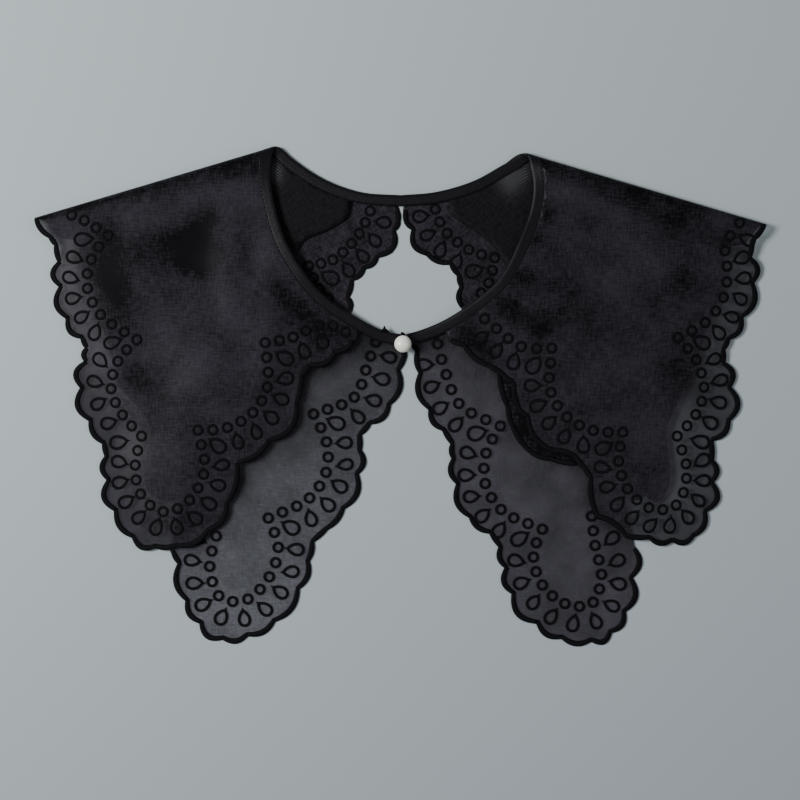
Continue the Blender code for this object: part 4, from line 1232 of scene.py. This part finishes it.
# The section: places across, out along the top and back along the underside
ACROSS = np.array([-1.0, -0.985, -0.94, -0.90, -0.85, -0.80, -0.75, -0.69, -0.55, -0.35, -0.10, 0.15,
                   0.40, 0.62, 0.80, 0.93, 0.985, 1.0])
RING_ACROSS = np.concatenate([ACROSS, ACROSS[-2:0:-1]])
RING_SIDE = np.concatenate([np.ones(len(ACROSS)), -np.ones(len(ACROSS) - 2)])


def crown(place, front):
    """Half height of the section, 0 to 1: level at the back; in front (front = 1) low at the cloth side and
    rising evenly to a crest near the neck. Both edges are rounded off. Also how much the stitches pull it
    down there."""
    slope = 1 - 0.36 * front * (1 - np.clip((place + 1) / 1.5, 0, 1))
    near_cloth = np.sqrt(1 - np.clip((-0.92 - place) / 0.08, 0, 1) ** 2)
    near_neck = np.sqrt(1 - np.clip((place - 0.5) / 0.5, 0, 1) ** 2)
    return slope * near_cloth * near_neck, np.exp(-(((place - STITCH_PLACE) / 0.07) ** 2))


def binding_frame(half, line):
    """Middle height and half thickness of the binding along the unfolded neck line, and its front share."""
    front = ease((line[:, 1] + FOLD_STRIP) / (2 * FOLD_STRIP))
    top = BINDING_LIFT * front
    deep = BINDING_BACK + (BINDING_FRONT - BINDING_BACK) * front
    return top - deep / 2, deep / 2, front


def binding_form(half):
    """Sections of the binding from the centre front to the centre back."""
    line = half.neck
    across = beside(line, BINDING_WIDTH / 2) - line
    middle, deep, front = binding_frame(half, line)
    rim = []
    for place, face in zip(RING_ACROSS, RING_SIDE):
        full, groove = crown(place, front)
        spots = line + place * across
        height = middle + face * (full * deep - groove * STITCH_GROOVE)
        rim.append(half.laid(spots) + height[:, None] * half.facing(spots))
    sections = np.stack(rim, axis=1)
    sections[:, :, 2] = np.maximum(sections[:, :, 2], 0.0)
    return sections


left_run, right_run = (binding_form(halves[name]) for name in ("left", "right"))
strip = np.concatenate([left_run, right_run[::-1][1:]])
rows, around = strip.shape[:2]
quads = grid_faces(rows, around, wrap=True)
index = np.arange(rows * around).reshape(rows, around)
run = np.concatenate([[0], np.cumsum(np.linalg.norm(np.diff(strip.mean(axis=1), axis=0), axis=1))])
girth = (RING_ACROSS * RING_SIDE + 1 - RING_SIDE) * BINDING_WIDTH / 2
flat = np.stack(np.broadcast_arrays(run[:, None], girth[None, :]), axis=-1).reshape(-1, 2)
binding = make_piece("neck_binding_satin", strip.reshape(-1, 3),
                     [*quads.tolist(), index[0][::-1].tolist(), index[-1].tolist()], SATIN, flat)
shell = bmesh.new()
shell.from_mesh(binding.data)
bmesh.ops.recalc_face_normals(shell, faces=shell.faces[:])
shell.to_mesh(binding.data)
shell.free()
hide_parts("neck_binding")
print(binding.name, triangles(binding), "triangles,", round(run[-1]), "mm long")

# %% Stitch the binding down
def seam_stitches(half, place, start=4.0):
    """Short straight stitches along the groove, 1.7 mm long and 2.3 mm apart. On the front they stand on
    the upper face of the binding, at the back on the face that shows in the neck."""
    line = beside(half.neck, place * BINDING_WIDTH / 2)
    total = run_of(line)[-1]
    firsts = np.arange(start, total - 3, 2.3)
    reach = firsts[:, None] + np.linspace(0, 1.7, 4)[None]
    paths = spread(line, reach.ravel() / total).reshape(len(firsts), 4, 2)
    parts = []
    for face, chosen in ((1, paths[paths[:, 0, 1] > -1]), (-1, paths[paths[:, -1, 1] < 1])):
        def surface(uv, lift, face=face):
            middle, deep, front = binding_frame(half, uv)
            height = middle + face * (crown(place, front)[0] * deep - STITCH_GROOVE * 0.9 + lift)
            return half.laid(uv) + height[:, None] * half.facing(uv)
        parts.append(strokes(chosen, 0.55, 0.22, surface, closed=False))
    return parts


# Ends of thread: a tuft above the left front, and the short loop that the pearl goes through
LOOSE_ENDS = (
    ((-10.4, 35.9), (-9.2, 36.2), (-7.8, 36.0), (-6.2, 35.3)),
    ((-10.0, 36.0), (-9.2, 36.8), (-8.2, 36.7), (-7.2, 35.9)),
    ((-9.1, 36.2), (-9.0, 37.0), (-8.9, 37.8), (-8.9, 38.6)),
    ((0.0, 34.6), (1.2, 34.5), (2.0, 34.1), (2.2, 33.0)),
    ((4.4, 33.2), (4.8, 33.8), (5.8, 34.1), (7.4, 34.4)),
)
paths = np.array([spread(smooth_line(path, 0.3), np.linspace(0, 1, 8)) for path in LOOSE_ENDS])
ends = strokes(paths, np.linspace(1.7, 1.0, 8), 0.4,
               over(lambda xy: halves["left"].front_height(xy) + 0.5), closed=False)
points, faces, flat = joined_strokes(
    [part for half in halves.values() for part in seam_stitches(half, STITCH_PLACE)] + [ends])
stitches = make_piece("neck_binding_stitches", points, faces, THREAD, flat)
print(stitches.name, triangles(stitches), "triangles")

# %% [markdown]
# ## The pearl
# A flat-backed pearl button closes the front. Its profile is an arc turned about its own axis.

# %% Turn the pearl
BUTTON_WIDTH, BUTTON_HEIGHT, BUTTON_SEAT, BUTTON_PLACE = 9.4, 7.2, 5.0, (1.2, 28.7)
seat = halves["left"].front_height(np.array([[BUTTON_PLACE[0], BUTTON_PLACE[1] + 2.0]]))[0] + 0.7
lowest = -np.sqrt(1 - (BUTTON_SEAT / BUTTON_WIDTH) ** 2)
rise = np.linspace(np.arcsin(lowest), np.pi / 2, 25)
radius = np.concatenate([[0.0], np.cos(rise[:-1]) * BUTTON_WIDTH / 2, [0.0]])
level = np.concatenate([[0.0], (np.sin(rise) - lowest) / (1 - lowest) * BUTTON_HEIGHT])
turn = np.linspace(0, 2 * np.pi, 48, endpoint=False)
points = np.stack(np.broadcast_arrays(
    BUTTON_PLACE[0] + radius[:, None] * np.cos(turn), BUTTON_PLACE[1] + radius[:, None] * np.sin(turn),
    seat + level[:, None]), axis=-1).reshape(-1, 3)
pearl = make_piece("pearl_button_turned", points, grid_faces(len(radius), 48, wrap=True), PEARL,
                   points[:, :2])
weld(pearl)
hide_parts("pearl_button")
print(pearl.name, triangles(pearl), "triangles")

# %% [markdown]
# ## Camera and light
# The photo looks straight down on the collar. A long lens far above keeps it flat. A soft light at the left,
# like a window, gives the sheen and the faint shadows, and a larger, weaker one at the right fills them.

# %% Floor, lights and camera
def area_light(name, place, look_at, size, power):
    """A square soft light turned to a point."""
    data = bpy.data.lights.new(name, "AREA")
    data.shape, data.size, data.energy = "SQUARE", size, power
    made = bpy.data.objects.new(name, data)
    bpy.context.scene.collection.objects.link(made)
    made.location = place
    made.rotation_mode = "QUATERNION"
    made.rotation_quaternion = (Vector(look_at) - Vector(place)).to_track_quat("-Z", "Y")
    return made


FRAME_WIDTH = 0.440
CENTRE = (-0.0004, -0.0019)
floor_mesh = bpy.data.meshes.new("floor")
floor_mesh.from_pydata([(-3, -3, -0.0002), (3, -3, -0.0002), (3, 3, -0.0002), (-3, 3, -0.0002)], [], [(0, 1, 2, 3)])
floor = bpy.data.objects.new("floor", floor_mesh)
bpy.context.scene.collection.objects.link(floor)
floor_finish, tree, shader = new_finish("pale grey paper", (0.40, 0.452, 0.466), 0.9, 0.1)
place = tree.nodes.new("ShaderNodeTexCoord")
split = tree.nodes.new("ShaderNodeSeparateXYZ")
tree.links.new(place.outputs["Object"], split.inputs[0])
# painted light falloff: the paper is darker towards the front and lighter towards the back
share = math_node(tree, "MULTIPLY_ADD", split.outputs[1], 1.6, 0.5)
tree.links.new(mix_colour(tree, share, (0.36, 0.40, 0.43, 1.0), (0.47, 0.54, 0.55, 1.0)),
               shader.inputs["Base Color"])
floor_mesh.materials.append(floor_finish)
area_light("window side", (-0.95, 0.16, 0.95), (0, 0.02, 0), 0.45, 20.5)
area_light("bounce card", (1.1, -0.2, 1.0), (0, 0, 0), 1.2, 3.5)
world = bpy.data.worlds.new("studio")
world.use_nodes = True
world.node_tree.nodes["Background"].inputs["Color"].default_value = (0.9, 0.95, 1.0, 1.0)
world.node_tree.nodes["Background"].inputs["Strength"].default_value = 0.22
bpy.context.scene.world = world
camera_data = bpy.data.cameras.new("overhead camera")
camera_data.lens = 85.0
camera = bpy.data.objects.new("overhead camera", camera_data)
bpy.context.scene.collection.objects.link(camera)
camera.location = (*CENTRE, FRAME_WIDTH / 2 * camera_data.lens / (camera_data.sensor_width / 2))
bpy.context.scene.camera = camera
